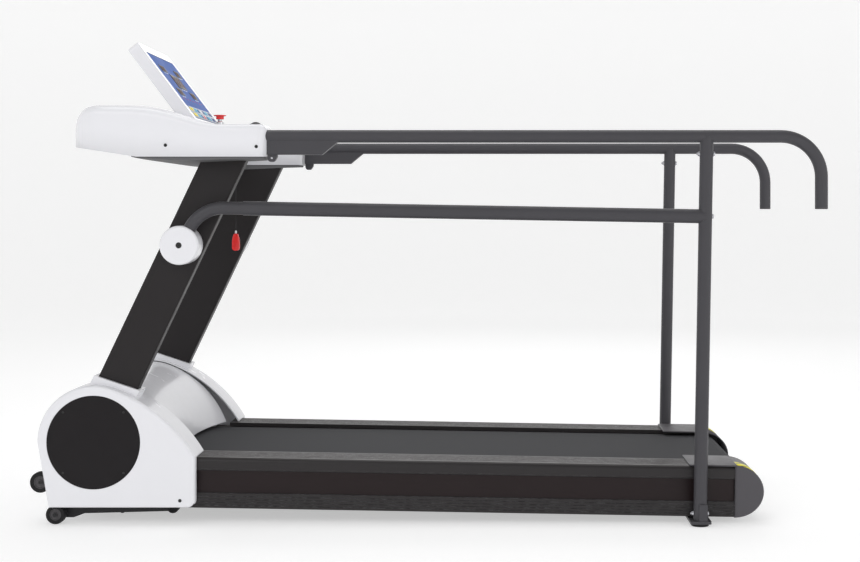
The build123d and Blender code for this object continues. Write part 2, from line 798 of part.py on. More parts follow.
# ================================================================ handrails
def make_top_rails():
    """Upper handrail with its hooked end, the welded gusset and the stub for the post."""
    post_lean = tan(fall)
    stub_x = post_x + top_rail_z * post_lean
    with BuildPart() as top_rail:
        with BuildLine() as path:
            reach = Line((top_rail_front_x, rail_y, top_rail_z), (hook_x - hook_bend, rail_y, top_rail_z))
            half_turn = hook_bend * sin(radians(45))
            turn = ThreePointArc(
                reach @ 1,
                (hook_x - hook_bend + half_turn, rail_y, top_rail_z - hook_bend + half_turn),
                (hook_x, rail_y, top_rail_z - hook_bend),
            )
            Line(turn @ 1, (hook_x, rail_y, hook_end_z))
        with BuildSketch(Plane(origin=reach @ 0, z_dir=(1, 0, 0))):
            Circle(top_rail_r)
        sweep(path=path.line)
        with BuildSketch(side(rail_y + gusset_thick / 2)) as fin:
            with BuildLine():
                Polyline(
                    (gusset_front_x, top_rail_z), (gusset_front_x, gusset_low_z), (gusset_rear_x, gusset_low_z),
                    (gusset_rear_x + 52, top_rail_z - 12), (gusset_rear_x + 52, top_rail_z), close=True,
                )
            make_face()
            fillet(fin.vertices().sort_by(Axis.Z)[:2].sort_by(Axis.X)[-1], 10)
        extrude(amount=gusset_thick)
        with BuildSketch(Plane(origin=(stub_x, rail_y, top_rail_z), x_dir=deck.x_dir, z_dir=-deck.z_dir)):
            Circle(post_r - post_wall - seat_gap)
        extrude(amount=top_rail_r + stub_long)
        with BuildSketch(Plane(origin=reach @ 0, z_dir=(1, 0, 0))):
            Circle(top_rail_r - tube_skin)
        sweep(path=path.line, mode=Mode.SUBTRACT)
    keep_pair(top_rail, "top_handrail")
    with BuildPart() as plug:
        with BuildSketch(Plane(origin=(hook_x, rail_y, hook_end_z - plug_proud))):
            Circle(top_rail_r)
        extrude(amount=plug_proud)
        fillet(plug.faces().sort_by(Axis.Z)[0].edges(), plug_proud / 2)
        with BuildSketch(Plane(origin=(hook_x, rail_y, hook_end_z))):
            Circle(top_rail_r - tube_skin)
        extrude(amount=plug_deep)
    keep_both(plug, "handrail_plugs")


def low_rail_path(y):
    """Centreline of the lower handrail: out of the hub, round the bend and level with the deck to the post."""
    rise = radians(low_bend_angle)
    level_v = low_rail_v - low_bend * (1 - cos(rise))
    straight = (level_v - hub_v) / sin(rise)
    bend_u = hub_u + straight * cos(rise)
    start = deck_point(hub_u, y, hub_v)
    bend = deck_point(bend_u, y, level_v)
    level = deck_point(bend_u + low_bend * sin(rise), y, low_rail_v)
    middle = deck_point(
        bend_u + low_bend * (sin(rise) - sin(rise / 2)), y, low_rail_v - low_bend * (1 - cos(rise / 2)),
    )
    return start, bend, middle, level


def make_low_rails():
    """Lower handrail, coped to the post, with the arm to the upright and its round hub cover."""
    post_u = (post_x - deck_x) / cos(fall)
    start, bend, middle, level = low_rail_path(rail_y)
    lead = (bend - start).normalized()
    sleeve_deep = 30.0
    bottom = Plane(origin=(post_x, rail_y, 0), x_dir=deck.x_dir, z_dir=deck.z_dir)
    with BuildPart() as low_rail:
        with BuildLine() as path:
            Line(start, bend)
            ThreePointArc(bend, middle, level)
            Line(level, deck_point(low_sleeve_u + sleeve_deep, rail_y, low_rail_v))
        with BuildSketch(Plane(origin=start, z_dir=lead)):
            Circle(low_elbow_r)
            Circle(low_elbow_r - tube_skin, mode=Mode.SUBTRACT)
        sweep(path=path.line)
        with BuildSketch(Plane(origin=deck_point(low_sleeve_u, rail_y, low_rail_v), z_dir=deck.x_dir)):
            Circle(low_rail_r)
            Circle(low_elbow_r - tube_skin / 2, mode=Mode.SUBTRACT)
        extrude(amount=post_u + deck_z * sin(fall) - low_sleeve_u)
        with BuildSketch(bottom):
            Circle(post_r)
        extrude(amount=top_rail_z, mode=Mode.SUBTRACT)
        with BuildSketch(deck_side(hub_outer - 8)):
            with Locations((hub_u, hub_v)):
                Circle(24)
        extrude(amount=hub_outer - 8 - upright_outer)
        with BuildSketch(deck_side(hub_outer)):
            with Locations((hub_u, hub_v)):
                Circle(9.5)
        extrude(amount=8, mode=Mode.SUBTRACT)
    keep_pair(low_rail, "low_handrail")
    with BuildPart() as hub:
        with BuildSketch(deck_side(hub_outer)):
            with Locations((hub_u, hub_v)):
                Circle(hub_r)
        extrude(amount=hub_outer - upright_outer - 0.5)
        fillet(hub.faces().sort_by(Axis.Y)[-1].edges(), 8)
        with BuildSketch(deck_side(hub_outer - 4)):
            with Locations((hub_u, hub_v)):
                Circle(hub_r - 4)
        extrude(amount=hub_outer, mode=Mode.SUBTRACT)
        with BuildSketch(deck_side(hub_outer + 1)):
            with Locations((hub_u, hub_v)):
                Circle(9)
        extrude(amount=8, mode=Mode.SUBTRACT)
        with BuildSketch(Plane(origin=start, z_dir=lead)):
            Circle(low_elbow_r + 1)
        extrude(amount=2 * hub_r, mode=Mode.SUBTRACT)
    keep_both(hub, "hub_covers")


def make_posts():
    """Rear posts that slip over the stubs, with cross bolts at the top, the lower rail and the foot."""
    foot_z = bar_low_z + bar_thick + 0.5
    rail_at = deck_point((post_x - deck_x) / cos(fall), 0, low_rail_v).Z
    base = Plane(origin=(post_x, rail_y, 0), x_dir=deck.x_dir, z_dir=deck.z_dir)
    with BuildPart() as post:
        with BuildSketch(base.offset(foot_z)):
            Circle(post_r)
            Circle(post_r - post_wall, mode=Mode.SUBTRACT)
        extrude(amount=top_rail_z - foot_z)
        with BuildSketch(Plane(origin=(0, rail_y, top_rail_z), z_dir=(1, 0, 0))):
            Circle(top_rail_r + seat_gap)
        extrude(amount=2 * post_x, mode=Mode.SUBTRACT)
    top_piece = post.part.solids().sort_by(SortBy.VOLUME)[-1]
    with BuildPart() as post_tube:
        add(top_piece)
    keep_both(post_tube, "rear_posts")
    hub_seat = hub_outer - 8
    with BuildPart() as bolts:
        with BuildSketch(deck_side(hub_seat + 6)):
            with Locations((hub_u, hub_v)):
                Circle(8.4)
        extrude(amount=6)
        with BuildSketch(deck_side(hub_seat + 6)):
            with Locations((hub_u, hub_v)):
                RegularPolygon(4, 6)
        extrude(amount=4, mode=Mode.SUBTRACT)
        for z, reach in ((top_rail_z - 52, 11.0), (36.0, 9.0)):
            for way in (1, -1):
                at = base.from_local_coords((way * post_r, 0, z))
                head = Plane(origin=at, z_dir=deck.x_dir * way)
                with BuildSketch(head):
                    Circle(8)
                extrude(amount=2)
                with BuildSketch(head.offset(2)):
                    RegularPolygon(6.5, 6)
                extrude(amount=reach - 4 if way < 0 else 4)
        head = Plane(origin=base.from_local_coords((post_r, 0, rail_at)), z_dir=deck.x_dir)
        with BuildSketch(head):
            Circle(8)
        extrude(amount=3)
        with BuildSketch(head.offset(3)):
            RegularPolygon(6.5, 6)
        extrude(amount=3)
    keep_both(bolts, "handrail_bolts")


# ================================================================ lift frame
def make_lift():
    """Wheeled lift frame on its pivot tube, the brackets it hangs from, its wheels and the ram."""
    gear_end = ram_start + ram_gear_high
    tube_start = gear_end + ram_neck
    with BuildPart() as lift_frame:
        for outer in (arm_outer, -arm_outer + arm_thick):
            with BuildSketch(side(outer)):
                with BuildLine():
                    Polyline((pivot_x, pivot_z + 14), (pivot_x, pivot_z - 14), (arm_kink_x + 32, 26), (arm_kink_x, arm_low_z),
                             (lift_x, arm_low_z), (lift_x, 43), (arm_kink_x, 46), close=True)
                make_face()
                with Locations((lift_x, lift_wheel_r)):
                    Circle(lift_hub_r)
                with Locations((pivot_x, pivot_z)):
                    Circle(lug_r)
            extrude(amount=arm_thick)
        with BuildSketch(side(arm_outer)):
            with Locations((pivot_x, pivot_z)):
                Circle(pivot_r)
        extrude(amount=2 * arm_outer)
        with BuildSketch(side(arm_outer - arm_thick)):
            with Locations((ram_pin_x, lift_tube_z), (tie_x, lift_tube_z)):
                Circle(tie_r)
        extrude(amount=2 * (arm_outer - arm_thick))
        for y in (fork_half, fork_wall - fork_half):
            with BuildSketch(side(y)):
                with Locations((ram_pin_x, (lift_tube_z + ram_pin_z) / 2)):
                    SlotOverall(ram_pin_z - lift_tube_z + fork_half, fork_half, rotation=90)
            extrude(amount=fork_wall)
        with BuildSketch(side(fork_half)):
            with Locations((ram_pin_x, ram_pin_z)):
                Circle(ram_pin_r)
        extrude(amount=2 * fork_half)
        wheel_reach = lift_wheel_mid + lift_wheel_wide / 2 + 3
        for outer in (wheel_reach, -arm_outer):
            with BuildSketch(side(outer)):
                with Locations((lift_x, lift_wheel_r)):
                    Circle(lift_axle_r)
            extrude(amount=wheel_reach - arm_outer)
    keep(lift_frame, "lift_frame")

    bracket_top = deck_point(pivot_x - deck_x, 0, tube_low_v).Z - 0.5
    with BuildPart() as hanger:
        with BuildSketch(side(arm_outer + hanger_gap)):
            with Locations((pivot_x, bracket_top - 3)):
                Rectangle(50, 6)
        extrude(amount=arm_outer + hanger_gap - tube_inner)
        for outer in (arm_outer + hanger_gap, tube_inner + hanger_gap):
            with BuildSketch(side(outer)):
                with Locations((pivot_x, (pivot_z + bracket_top) / 2)):
                    Rectangle(2 * lug_r, bracket_top - pivot_z)
                with Locations((pivot_x, pivot_z)):
                    Circle(lug_r)
                    Circle(pivot_r + shaft_fit, mode=Mode.SUBTRACT)
            extrude(amount=hanger_wall)
    keep_both(hanger, "lift_pivot_brackets")

    with BuildPart() as wheel:
        with BuildSketch(side(lift_wheel_mid + lift_wheel_wide / 2)):
            with Locations((lift_x, lift_wheel_r)):
                Circle(lift_wheel_r)
                Circle(lift_axle_r + shaft_fit, mode=Mode.SUBTRACT)
        extrude(amount=lift_wheel_wide)
        rim = wheel.edges().filter_by(GeomType.CIRCLE).sort_by(SortBy.RADIUS)[-2:]
        fillet(rim, tyre_round)
    keep_pair(wheel, "lift_wheel")

    reach = hypot(ram_top_x - ram_pin_x, ram_top_z - ram_pin_z)
    down = Vector(ram_pin_x - ram_top_x, 0, ram_pin_z - ram_top_z).normalized()
    head = Plane(origin=(ram_top_x, 0, ram_top_z), x_dir=(0, 1, 0), z_dir=down)
    with BuildPart() as ram_body:
        with BuildSketch(side(ram_eye_half)):
            with Locations((ram_top_x, ram_top_z)):
                Circle(ram_eye_r)
        extrude(amount=2 * ram_eye_half)
        with BuildSketch(head.offset(6)):
            Rectangle(2 * ram_eye_half, 24)
        extrude(amount=26)
        with BuildSketch(head.offset(ram_start)):
            with Locations((-34, 0)):
                RectangleRounded(128, 52, 10)
        extrude(amount=ram_gear_high)
        with BuildSketch(head.offset(gear_end)):
            Circle(ram_tube_r)
            with Locations((-ram_motor_off, 0)):
                Circle(ram_motor_r)
        extrude(amount=ram_neck)
        with BuildSketch(head.offset(tube_start)):
            Circle(ram_tube_r)
        extrude(amount=ram_tube_long)
        with BuildSketch(head.offset(tube_start)):
            with Locations((-ram_motor_off, 0)):
                Circle(ram_motor_r)
        extrude(amount=ram_motor_long)
        with BuildSketch(side(ram_eye_half + 1)):
            with Locations((ram_top_x, ram_top_z)):
                Circle(ram_pin_top_r + shaft_fit)
        extrude(amount=30, mode=Mode.SUBTRACT)
        with BuildSketch(head.offset(86)):
            Circle(ram_rod_r + shaft_fit)
        extrude(amount=200, mode=Mode.SUBTRACT)
    keep(ram_body, "ram_body")
    eye_r = ram_pin_r + ram_play
    with BuildPart() as ram_rod:
        with BuildSketch(head.offset(90)):
            Circle(ram_rod_r)
        extrude(amount=reach - 90 - eye_r)
        with BuildSketch(side(10)):
            with Locations((ram_pin_x, ram_pin_z)):
                Circle(eye_r + 6)
        extrude(amount=20)
        with BuildSketch(side(15)):
            with Locations((ram_pin_x, ram_pin_z)):
                Circle(eye_r)
        extrude(amount=30, mode=Mode.SUBTRACT)
    keep(ram_rod, "ram_rod")


def make_tip_wheels():
    """Transport wheels at the nose and the axle plates on the uprights' outer faces."""
    with BuildPart() as wheel:
        with BuildSketch(side(tip_mid + tip_wide / 2)):
            with Locations((tip_x, tip_z)):
                Circle(tip_r)
                Circle(tip_axle_r + shaft_fit, mode=Mode.SUBTRACT)
        extrude(amount=tip_wide)
        rim = wheel.edges().filter_by(GeomType.CIRCLE).sort_by(SortBy.RADIUS)[-2:]
        fillet(rim, tip_round)
    keep_pair(wheel, "transport_wheel")
    with BuildPart() as plate:
        with BuildSketch(side(upright_outer + tip_plate)):
            with BuildLine():
                Polyline((tip_x - 10, tip_z - 12), (tip_x + tip_plate_long, tip_z + 42), (tip_x + tip_plate_long, tip_z + 100),
                         (tip_x - 10, tip_z + 14), close=True)
            make_face()
        extrude(amount=tip_plate)
        with BuildSketch(side(tip_mid + tip_wide / 2)):
            with Locations((tip_x, tip_z)):
                Circle(tip_axle_r)
        extrude(amount=tip_mid + tip_wide / 2 - upright_outer)
    keep_both(plate, "transport_wheel_brackets")


# ================================================================ console
def console_side(y, inset=0.0):
    """Side profile of the console at station y: blunt nose, hump, falling back to the flat arms."""
    nose_r = 80.0
    hump_rear_x = -900.0
    hump_foot_x = -668.0
    belly_x = -860.0
    hump_foot_r = 60.0
    with BuildSketch(side(y)) as profile:
        with BuildLine():
            nose = Line((console_nose_x, console_low_z + 31), (console_nose_x, console_high_z - nose_r))
            brow = RadiusArc(nose @ 1, (console_nose_x + nose_r, console_high_z), nose_r)
            hump = Line(brow @ 1, (hump_rear_x, console_high_z))
            back = TangentArc(hump @ 1, (hump_foot_x, console_flat_z), tangent=(1, 0))
            Polyline(back @ 1, (console_rear_x, console_flat_z), (console_rear_x, console_low_z),
                     (belly_x, console_low_z), nose @ 0)
        make_face()
        crease = profile.vertices().filter_by(lambda v: abs(v.X - hump_foot_x) < 1 and v.Y > console_low_z + 5)
        fillet(crease, hump_foot_r)
        if inset:
            offset(amount=-inset)
    return profile.sketch


def console_plan(z, inset=0.0):
    """Plan of the console at height z: a U whose arms take the handrails."""
    with BuildSketch(Plane.XY.offset(z)) as plan:
        with BuildLine():
            Polyline(
                (console_nose_x, -console_half), (console_rear_x, -console_half), (console_rear_x, -arm_inner),
                (centre_rear_edge_x, -arm_inner), (centre_rear_edge_x, arm_inner), (console_rear_x, arm_inner),
                (console_rear_x, console_half), (console_nose_x, console_half), close=True,
            )
        make_face()
        noses = plan.vertices().sort_by(Axis.X)[:2]
        fillet(noses, nose_corner)
        tips = plan.vertices().sort_by(Axis.X)[-4:]
        fillet(tips, 12)
        inner = plan.vertices().filter_by(
            lambda v: abs(abs(v.Y) - arm_inner) < 1 and abs(v.X - centre_rear_edge_x) < 1)
        fillet(inner, 30)
        if inset:
            offset(amount=-inset)
    return plan.sketch


def console_solid(inset=0.0):
    """Solid inside the console's outline, moved in by inset."""
    tall = console_high_z - console_low_z
    with BuildPart(mode=Mode.PRIVATE) as solid:
        extrude(console_side(console_half, inset), amount=2 * console_half)
        extrude(console_plan(console_low_z, inset), amount=tall, mode=Mode.INTERSECT)
    return solid.part


def make_console():
    """Console shell, hollow and open below, and the tray that closes it."""
    boss_z = estop_seat_z
    with BuildPart() as shell:
        add(console_solid())
        with BuildSketch(Plane.XY.offset(console_flat_z - 20)):
            with Locations((estop_x, 0)):
                Circle(24)
        extrude(amount=boss_z - console_flat_z + 20)
        with BuildSketch(Plane.XY.offset(boss_z)):
            with Locations((estop_x, 0)):
                Circle(24)
        extrude(amount=60, mode=Mode.SUBTRACT)
        add(console_solid(console_wall), mode=Mode.SUBTRACT)
        with BuildSketch(Plane.XY.offset(console_low_z - 1)):
            add(console_plan(0, console_wall))
            with Locations((tray_front_x - 200, 0)):
                Rectangle(400, 2 * console_half, mode=Mode.SUBTRACT)
        extrude(amount=2 * console_wall, mode=Mode.SUBTRACT)
        with BuildSketch(Plane.XY.offset(console_low_z)):
            with Locations((estop_x, 0)):
                Circle(15)
        extrude(amount=console_high_z, mode=Mode.SUBTRACT)
        with BuildSketch(Plane.XY.offset(console_low_z)):
            with Locations((dome_x, dome_y), (dome_x, -dome_y)):
                Circle(dome_r + slip)
        extrude(amount=console_high_z, mode=Mode.SUBTRACT)
        with BuildSketch(Plane(origin=(console_rear_x + 1, 0, top_rail_z), x_dir=(0, 1, 0), z_dir=(1, 0, 0))):
            for y in (rail_y, -rail_y):
                with Locations((y, 0)):
                    Circle(top_rail_r + slip)
                with Locations((y, (gusset_low_z - top_rail_z) / 2)):
                    Rectangle(gusset_thick + 2 * slip, top_rail_z - gusset_low_z + 2 * slip)
        extrude(amount=-4 * console_wall, mode=Mode.SUBTRACT)
        key_hole = Plane(origin=(centre_rear_edge_x, 0, key_z), x_dir=(0, 1, 0), z_dir=(1, 0, 0))
        with BuildSketch(key_hole):
            Circle(key_r - 4)
        extrude(amount=-console_wall - 1, mode=Mode.SUBTRACT)
    keep(shell, "console_shell")

    gap = console_wall + slip
    with BuildPart() as tray:
        extrude(console_plan(console_low_z - tray_drop, gap), amount=tray_thick)
        split(bisect_by=Plane.YZ.offset(tray_front_x + slip), keep=Keep.TOP)
        with BuildSketch(Plane.XY.offset(console_low_z - tray_drop)):
            for y in (rail_y, -rail_y):
                with Locations((console_rear_x - 80, y)):
                    Rectangle(400, gusset_thick + 2)
        extrude(amount=2 * tray_thick, mode=Mode.SUBTRACT)
        for y in (upright_inner - slip, -upright_outer - slip):
            add(upright_prism(slip, y, y + upright_thick + 2 * slip, reach=900), mode=Mode.SUBTRACT)
    keep(tray, "console_tray")


def make_display():
    """Display housing on the console, its front panel and the circuit board behind it."""
    rise = radians(screen_lean)
    foot = (screen_x, 0, console_flat_z)
    face = Plane(origin=foot, x_dir=(0, 1, 0), z_dir=(sin(rise), 0, cos(rise)))
    centre = (0, (panel_low + panel_high) / 2)
    tall = panel_high - panel_low
    with BuildPart() as housing:
        with BuildSketch(face):
            with Locations((0, screen_long / 2)):
                RectangleRounded(2 * screen_half, screen_long, 14)
        extrude(amount=-screen_thick)
        fillet(housing.faces().sort_by(Axis.X)[-1].edges(), 4)
        with BuildSketch(face.offset(-screen_wall)):
            with Locations((0, screen_long / 2)):
                RectangleRounded(2 * (screen_half - screen_wall), screen_long - 2 * screen_wall, 10)
        extrude(amount=-screen_thick + 2 * screen_wall, mode=Mode.SUBTRACT)
        with BuildSketch(face.offset(1)):
            with Locations(centre):
                RectangleRounded(2 * (panel_half + slip), tall + 2 * slip, 6)
        extrude(amount=-panel_thick - 1.3, mode=Mode.SUBTRACT)
        with BuildSketch(face):
            with Locations(centre):
                RectangleRounded(2 * (panel_half - 6), tall - 12, 4)
        extrude(amount=-screen_wall - 1, mode=Mode.SUBTRACT)
        add(console_solid(), mode=Mode.SUBTRACT)
        with BuildSketch(Plane.XY.offset(console_flat_z - 20)):
            with Locations((estop_x, 0)):
                Circle(24 + slip)
        extrude(amount=estop_seat_z - console_flat_z + 40, mode=Mode.SUBTRACT)
    keep(housing, "display_housing")
    with BuildPart() as panel:
        with BuildSketch(face.offset(-0.3)):
            with Locations(centre):
                RectangleRounded(2 * panel_half, tall, 6)
        extrude(amount=-panel_thick)
    keep(panel, "display_panel")
    with BuildPart() as board:
        with BuildSketch(face.offset(-screen_wall - 8)):
            with Locations(centre):
                Rectangle(2 * panel_half - 60, tall - 40)
        extrude(amount=-1.6)
        with BuildSketch(face.offset(-screen_wall)):
            with Locations(centre):
                with GridLocations(2 * panel_half - 100, tall - 80, 2, 2):
                    Circle(5)
        extrude(amount=-8)
    keep(board, "display_board")


def make_stop_and_buttons():
    """Emergency stop with its collar, stem and twist cap, and the two dome buttons on the arms."""
    seat = Plane(origin=(estop_x, 0, estop_seat_z))
    with BuildPart() as collar:
        with BuildSketch(seat):
            Circle(estop_skirt_r)
        extrude(amount=6, taper=20)
        with BuildSketch(seat):
            Circle(estop_neck_r)
        extrude(amount=estop_neck_high)
        with BuildSketch(seat):
            Circle(14.8)
        extrude(amount=-30)
        with BuildSketch(seat.offset(-31)):
            Circle(estop_stem_r + shaft_fit)
        extrude(amount=60, mode=Mode.SUBTRACT)
    keep(collar, "estop_collar")
    with BuildPart() as stem:
        with BuildSketch(seat.offset(-20)):
            Circle(estop_stem_r)
        extrude(amount=estop_head_high - 4 + 20)
    keep(stem, "estop_stem")
    with BuildPart() as head:
        with BuildSketch(seat.offset(estop_head_low)):
            Circle(estop_r)
        extrude(amount=estop_head_high - estop_head_low)
        fillet(head.faces().sort_by(Axis.Z)[-1].edges(), 7)
        fillet(head.faces().sort_by(Axis.Z)[0].edges(), 2)
        with BuildSketch(seat.offset(estop_head_low - 1)):
            Circle(estop_stem_r + shaft_fit)
        extrude(amount=estop_head_high - 4 - estop_head_low + 1 + slip, mode=Mode.SUBTRACT)
    keep(head, "estop_head")
    with BuildPart() as button:
        with BuildSketch(Plane(origin=(dome_x, dome_y, console_flat_z - 12))):
            Circle(dome_r)
        extrude(amount=12 + dome_proud)
        fillet(button.faces().sort_by(Axis.Z)[-1].edges(), dome_proud - 1)
        with BuildSketch(Plane(origin=(dome_x, dome_y, console_flat_z - console_wall - slip))):
            Circle(dome_r + 2.5)
        extrude(amount=-2)
    keep_pair(button, "dome_button")


def clip_face(y):
    """Side view of the clip at station y, with its origin where the neck meets the jaws."""
    return Plane(origin=(cord_x, y, clip_top_z - clip_neck), x_dir=(1, 0, 0), z_dir=(0, -1, 0))


def make_key():
    """Magnetic safety key in its socket, with its cord and clothing clip."""
    socket = Plane(origin=(centre_rear_edge_x, 0, key_z), x_dir=(0, 1, 0), z_dir=(1, 0, 0))
    seat = 4.0
    puck_thick = 16.0
    with BuildPart() as ring:
        with BuildSketch(socket):
            Circle(key_r + 4)
        extrude(amount=seat)
        with BuildSketch(socket):
            Circle(key_r - 4 - slip)
        extrude(amount=-14)
    keep(ring, "safety_socket")
    with BuildPart() as puck:
        with BuildSketch(socket.offset(seat + slip)):
            Circle(key_r)
        extrude(amount=puck_thick)
        fillet(puck.faces().sort_by(Axis.X)[-1].edges(), 3)
        puck_front = seat + slip + puck_thick
        with BuildSketch(socket.offset(puck_front)):
            Circle(key_lug_r)
        extrude(amount=cord_x + key_lug_r - centre_rear_edge_x - puck_front)
    keep(puck, "safety_key")
    with BuildPart() as lanyard:
        with BuildSketch(Plane(origin=(cord_x, 0, clip_top_z))):
            Circle(cord_r)
        extrude(amount=key_z - key_lug_r - clip_top_z)
    keep(lanyard, "safety_lanyard")
    shut = clip_jaw_half
    with BuildPart() as clip:
        with BuildSketch(Plane(origin=(cord_x, 0, clip_top_z))):
            Circle(clip_neck_r)
        extrude(amount=-clip_neck)
        for outer in (shut, clip_jaw_thick - shut):
            with BuildSketch(clip_face(outer)):
                with BuildLine():
                    Polyline(
                        (-shut, 0), (shut, 0), (clip_half, -clip_shoulder), (clip_half, -clip_high),
                        (-clip_half, -clip_high), (-clip_half, -clip_shoulder), close=True,
                    )
                make_face()
            extrude(amount=clip_jaw_thick)
        with BuildSketch(clip_face(shut)):
            with Locations((0, -clip_pin_drop)):
                Circle(clip_pin_r)
            Rectangle(clip_half, 2 * clip_pin_r, align=(Align.CENTER, Align.MAX))
        extrude(amount=2 * shut)
    keep(clip, "safety_clip")


def make_power_and_screws():
    """Mains inlet and rocker switch in the nose, and the black cover screws."""
    face = hood_nose()
    slot_wide = switch_wide - 2 * switch_wall
    slot_high = switch_high - 2 * switch_wall
    with BuildPart() as inlet:
        with BuildSketch(face):
            with Locations((inlet_y, inlet_up)):
                RectangleRounded(inlet_wide, inlet_high, 3)
        extrude(amount=bezel_thick)
        with BuildSketch(face):
            with Locations((inlet_y, inlet_up)):
                RectangleRounded(27, 20, 2)
        extrude(amount=-26)
        with BuildSketch(face.offset(3)):
            with Locations((inlet_y, inlet_up)):
                RectangleRounded(22, 15, 2)
        extrude(amount=-20, mode=Mode.SUBTRACT)
        with BuildSketch(face.offset(-17)):
            with Locations((inlet_y - 6, inlet_up + 2), (inlet_y, inlet_up - 3), (inlet_y + 6, inlet_up + 2)):
                Rectangle(2, 4)
        extrude(amount=14)
        with BuildSketch(face):
            with Locations((switch_y, inlet_up)):
                RectangleRounded(20, inlet_high, 2)
                Rectangle(slot_wide, slot_high, mode=Mode.SUBTRACT)
        extrude(amount=bezel_thick)
        with BuildSketch(face):
            with Locations((switch_y, inlet_up)):
                Rectangle(switch_wide, switch_high)
                Rectangle(slot_wide, slot_high, mode=Mode.SUBTRACT)
        extrude(amount=-18)
    keep(inlet, "power_inlet")
    with BuildPart() as rocker:
        with BuildSketch(Plane(origin=face.from_local_coords((switch_y + rocker_wide / 2, inlet_up, 0)), x_dir=-face.y_dir,
                               z_dir=face.x_dir * -1)):
            Circle(rocker_keel_r)
            with Locations((0, rocker_keel_r)):
                Rectangle(2 * rocker_keel_r, 2 * rocker_keel_r, mode=Mode.SUBTRACT)
            with BuildLine():
                Polyline((-9.6, -2.5), (-9.6, 4), (0, 1), (9.6, 0.6), (9.6, -2.5), close=True)
            make_face()
        extrude(amount=rocker_wide)
    keep(rocker, "rocker_switch")
    with BuildPart() as screws:
        with BuildSketch(side(hood_half - disc_pocket + disc_thick + cover_screw_high)):
            with Locations((hood_x, hood_z)):
                with PolarLocations(disc_r - 11.5, 4, start_angle=45):
                    Circle(cover_screw_r)
        extrude(amount=cover_screw_high)
        with BuildSketch(side(hood_half + cover_screw_high)):
            with Locations(hood_screw):
                Circle(cover_screw_r)
        extrude(amount=cover_screw_high)
        with BuildSketch(side(console_half + cover_screw_high)):
            with Locations(*console_screws):
                Circle(cover_screw_r)
        extrude(amount=cover_screw_high)
    keep_both(screws, "cover_screws")


for make in (
    make_frame_rails, make_crossmembers, make_rear_crossbar, make_side_rails, make_rail_brackets,
    make_running_deck, make_end_caps, make_rollers, make_drive, make_hood_sides, make_hood_top,
    make_uprights, make_top_rails, make_low_rails, make_posts, make_lift, make_tip_wheels, make_console,
    make_display, make_stop_and_buttons, make_key, make_power_and_screws,
):
    make()
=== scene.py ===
"""Studio scene of a rehabilitation treadmill: finishes, formed covers and small fittings round its frame.

Metres. +Z is up and the walker faces -X, so -Y is the walker's left. The walking deck falls by one
degree to the rear, and what lies along it is drawn in the deck's own plane and then laid on it.
"""

import logging
import math
from dataclasses import dataclass, field
from enum import Enum
from typing import Callable, Iterable, Sequence

import bmesh
import bpy
from mathutils import Matrix, Vector


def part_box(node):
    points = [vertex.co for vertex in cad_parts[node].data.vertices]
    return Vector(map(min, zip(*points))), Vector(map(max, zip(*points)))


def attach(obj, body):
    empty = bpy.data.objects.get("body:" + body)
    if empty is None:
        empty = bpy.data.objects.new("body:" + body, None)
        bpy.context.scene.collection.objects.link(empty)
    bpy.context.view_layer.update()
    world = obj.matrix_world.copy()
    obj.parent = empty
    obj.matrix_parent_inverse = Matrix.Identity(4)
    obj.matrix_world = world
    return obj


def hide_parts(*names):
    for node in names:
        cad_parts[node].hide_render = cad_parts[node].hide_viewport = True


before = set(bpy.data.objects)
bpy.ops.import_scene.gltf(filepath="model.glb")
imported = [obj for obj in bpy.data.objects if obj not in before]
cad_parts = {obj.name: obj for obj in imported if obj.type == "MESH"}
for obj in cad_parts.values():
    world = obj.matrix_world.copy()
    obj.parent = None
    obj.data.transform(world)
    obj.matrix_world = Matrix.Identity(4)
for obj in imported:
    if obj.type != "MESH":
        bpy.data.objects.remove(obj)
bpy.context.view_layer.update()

log = logging.getLogger("treadmill")
MM = 0.001
CHASSIS = "chassis"
Point = tuple[float, float]


# ---------------------------------------------------------------- places
def lean(degrees: float, x: float, z: float) -> Matrix:
    """Frame whose X runs rearwards and down by an angle, with +Y kept.

    Args:
        degrees: how far X falls below level.
        x: world X of the frame's origin.
        z: world Z of the frame's origin.

    Returns:
        The matrix from the frame's own coordinates to the world's.
    """
    return Matrix.Translation((x, 0, z)) @ Matrix.Rotation(math.radians(degrees), 4, "Y")


DECK = lean(1.0, -690 * MM, 47 * MM)


def facing(origin: Sequence[float], out: Sequence[float], up: Sequence[float] = (0, 0, 1)) -> Matrix:
    """Frame that stands on a surface: Z points out of it and Y points up it.

    Args:
        origin: where the frame stands.
        out: the surface's outward direction.
        up: a direction that Y leans towards.

    Returns:
        The matrix from the frame's own coordinates to the world's.
    """
    z = Vector(out).normalized()
    x = Vector(up).cross(z).normalized()
    turn = Matrix((x, z.cross(x), z)).transposed().to_4x4()
    return Matrix.Translation(Vector(origin)) @ turn


def arc(cx: float, cy: float, radius: float, start: float, end: float, steps: int) -> list[Point]:
    """Points along a circular arc.

    Args:
        cx: first coordinate of the centre.
        cy: second coordinate of the centre.
        radius: the arc's radius.
        start: first angle, in degrees.
        end: last angle, in degrees.
        steps: number of chords.

    Returns:
        The points, both ends included.
    """
    angles = [math.radians(start + (end - start) * i / steps) for i in range(steps + 1)]
    return [(cx + radius * math.cos(a), cy + radius * math.sin(a)) for a in angles]


def spread(first: float, last: float, count: int) -> list[float]:
    """Evenly spaced values from first to last, both included."""
    return [first + (last - first) * i / (count - 1) for i in range(count)]


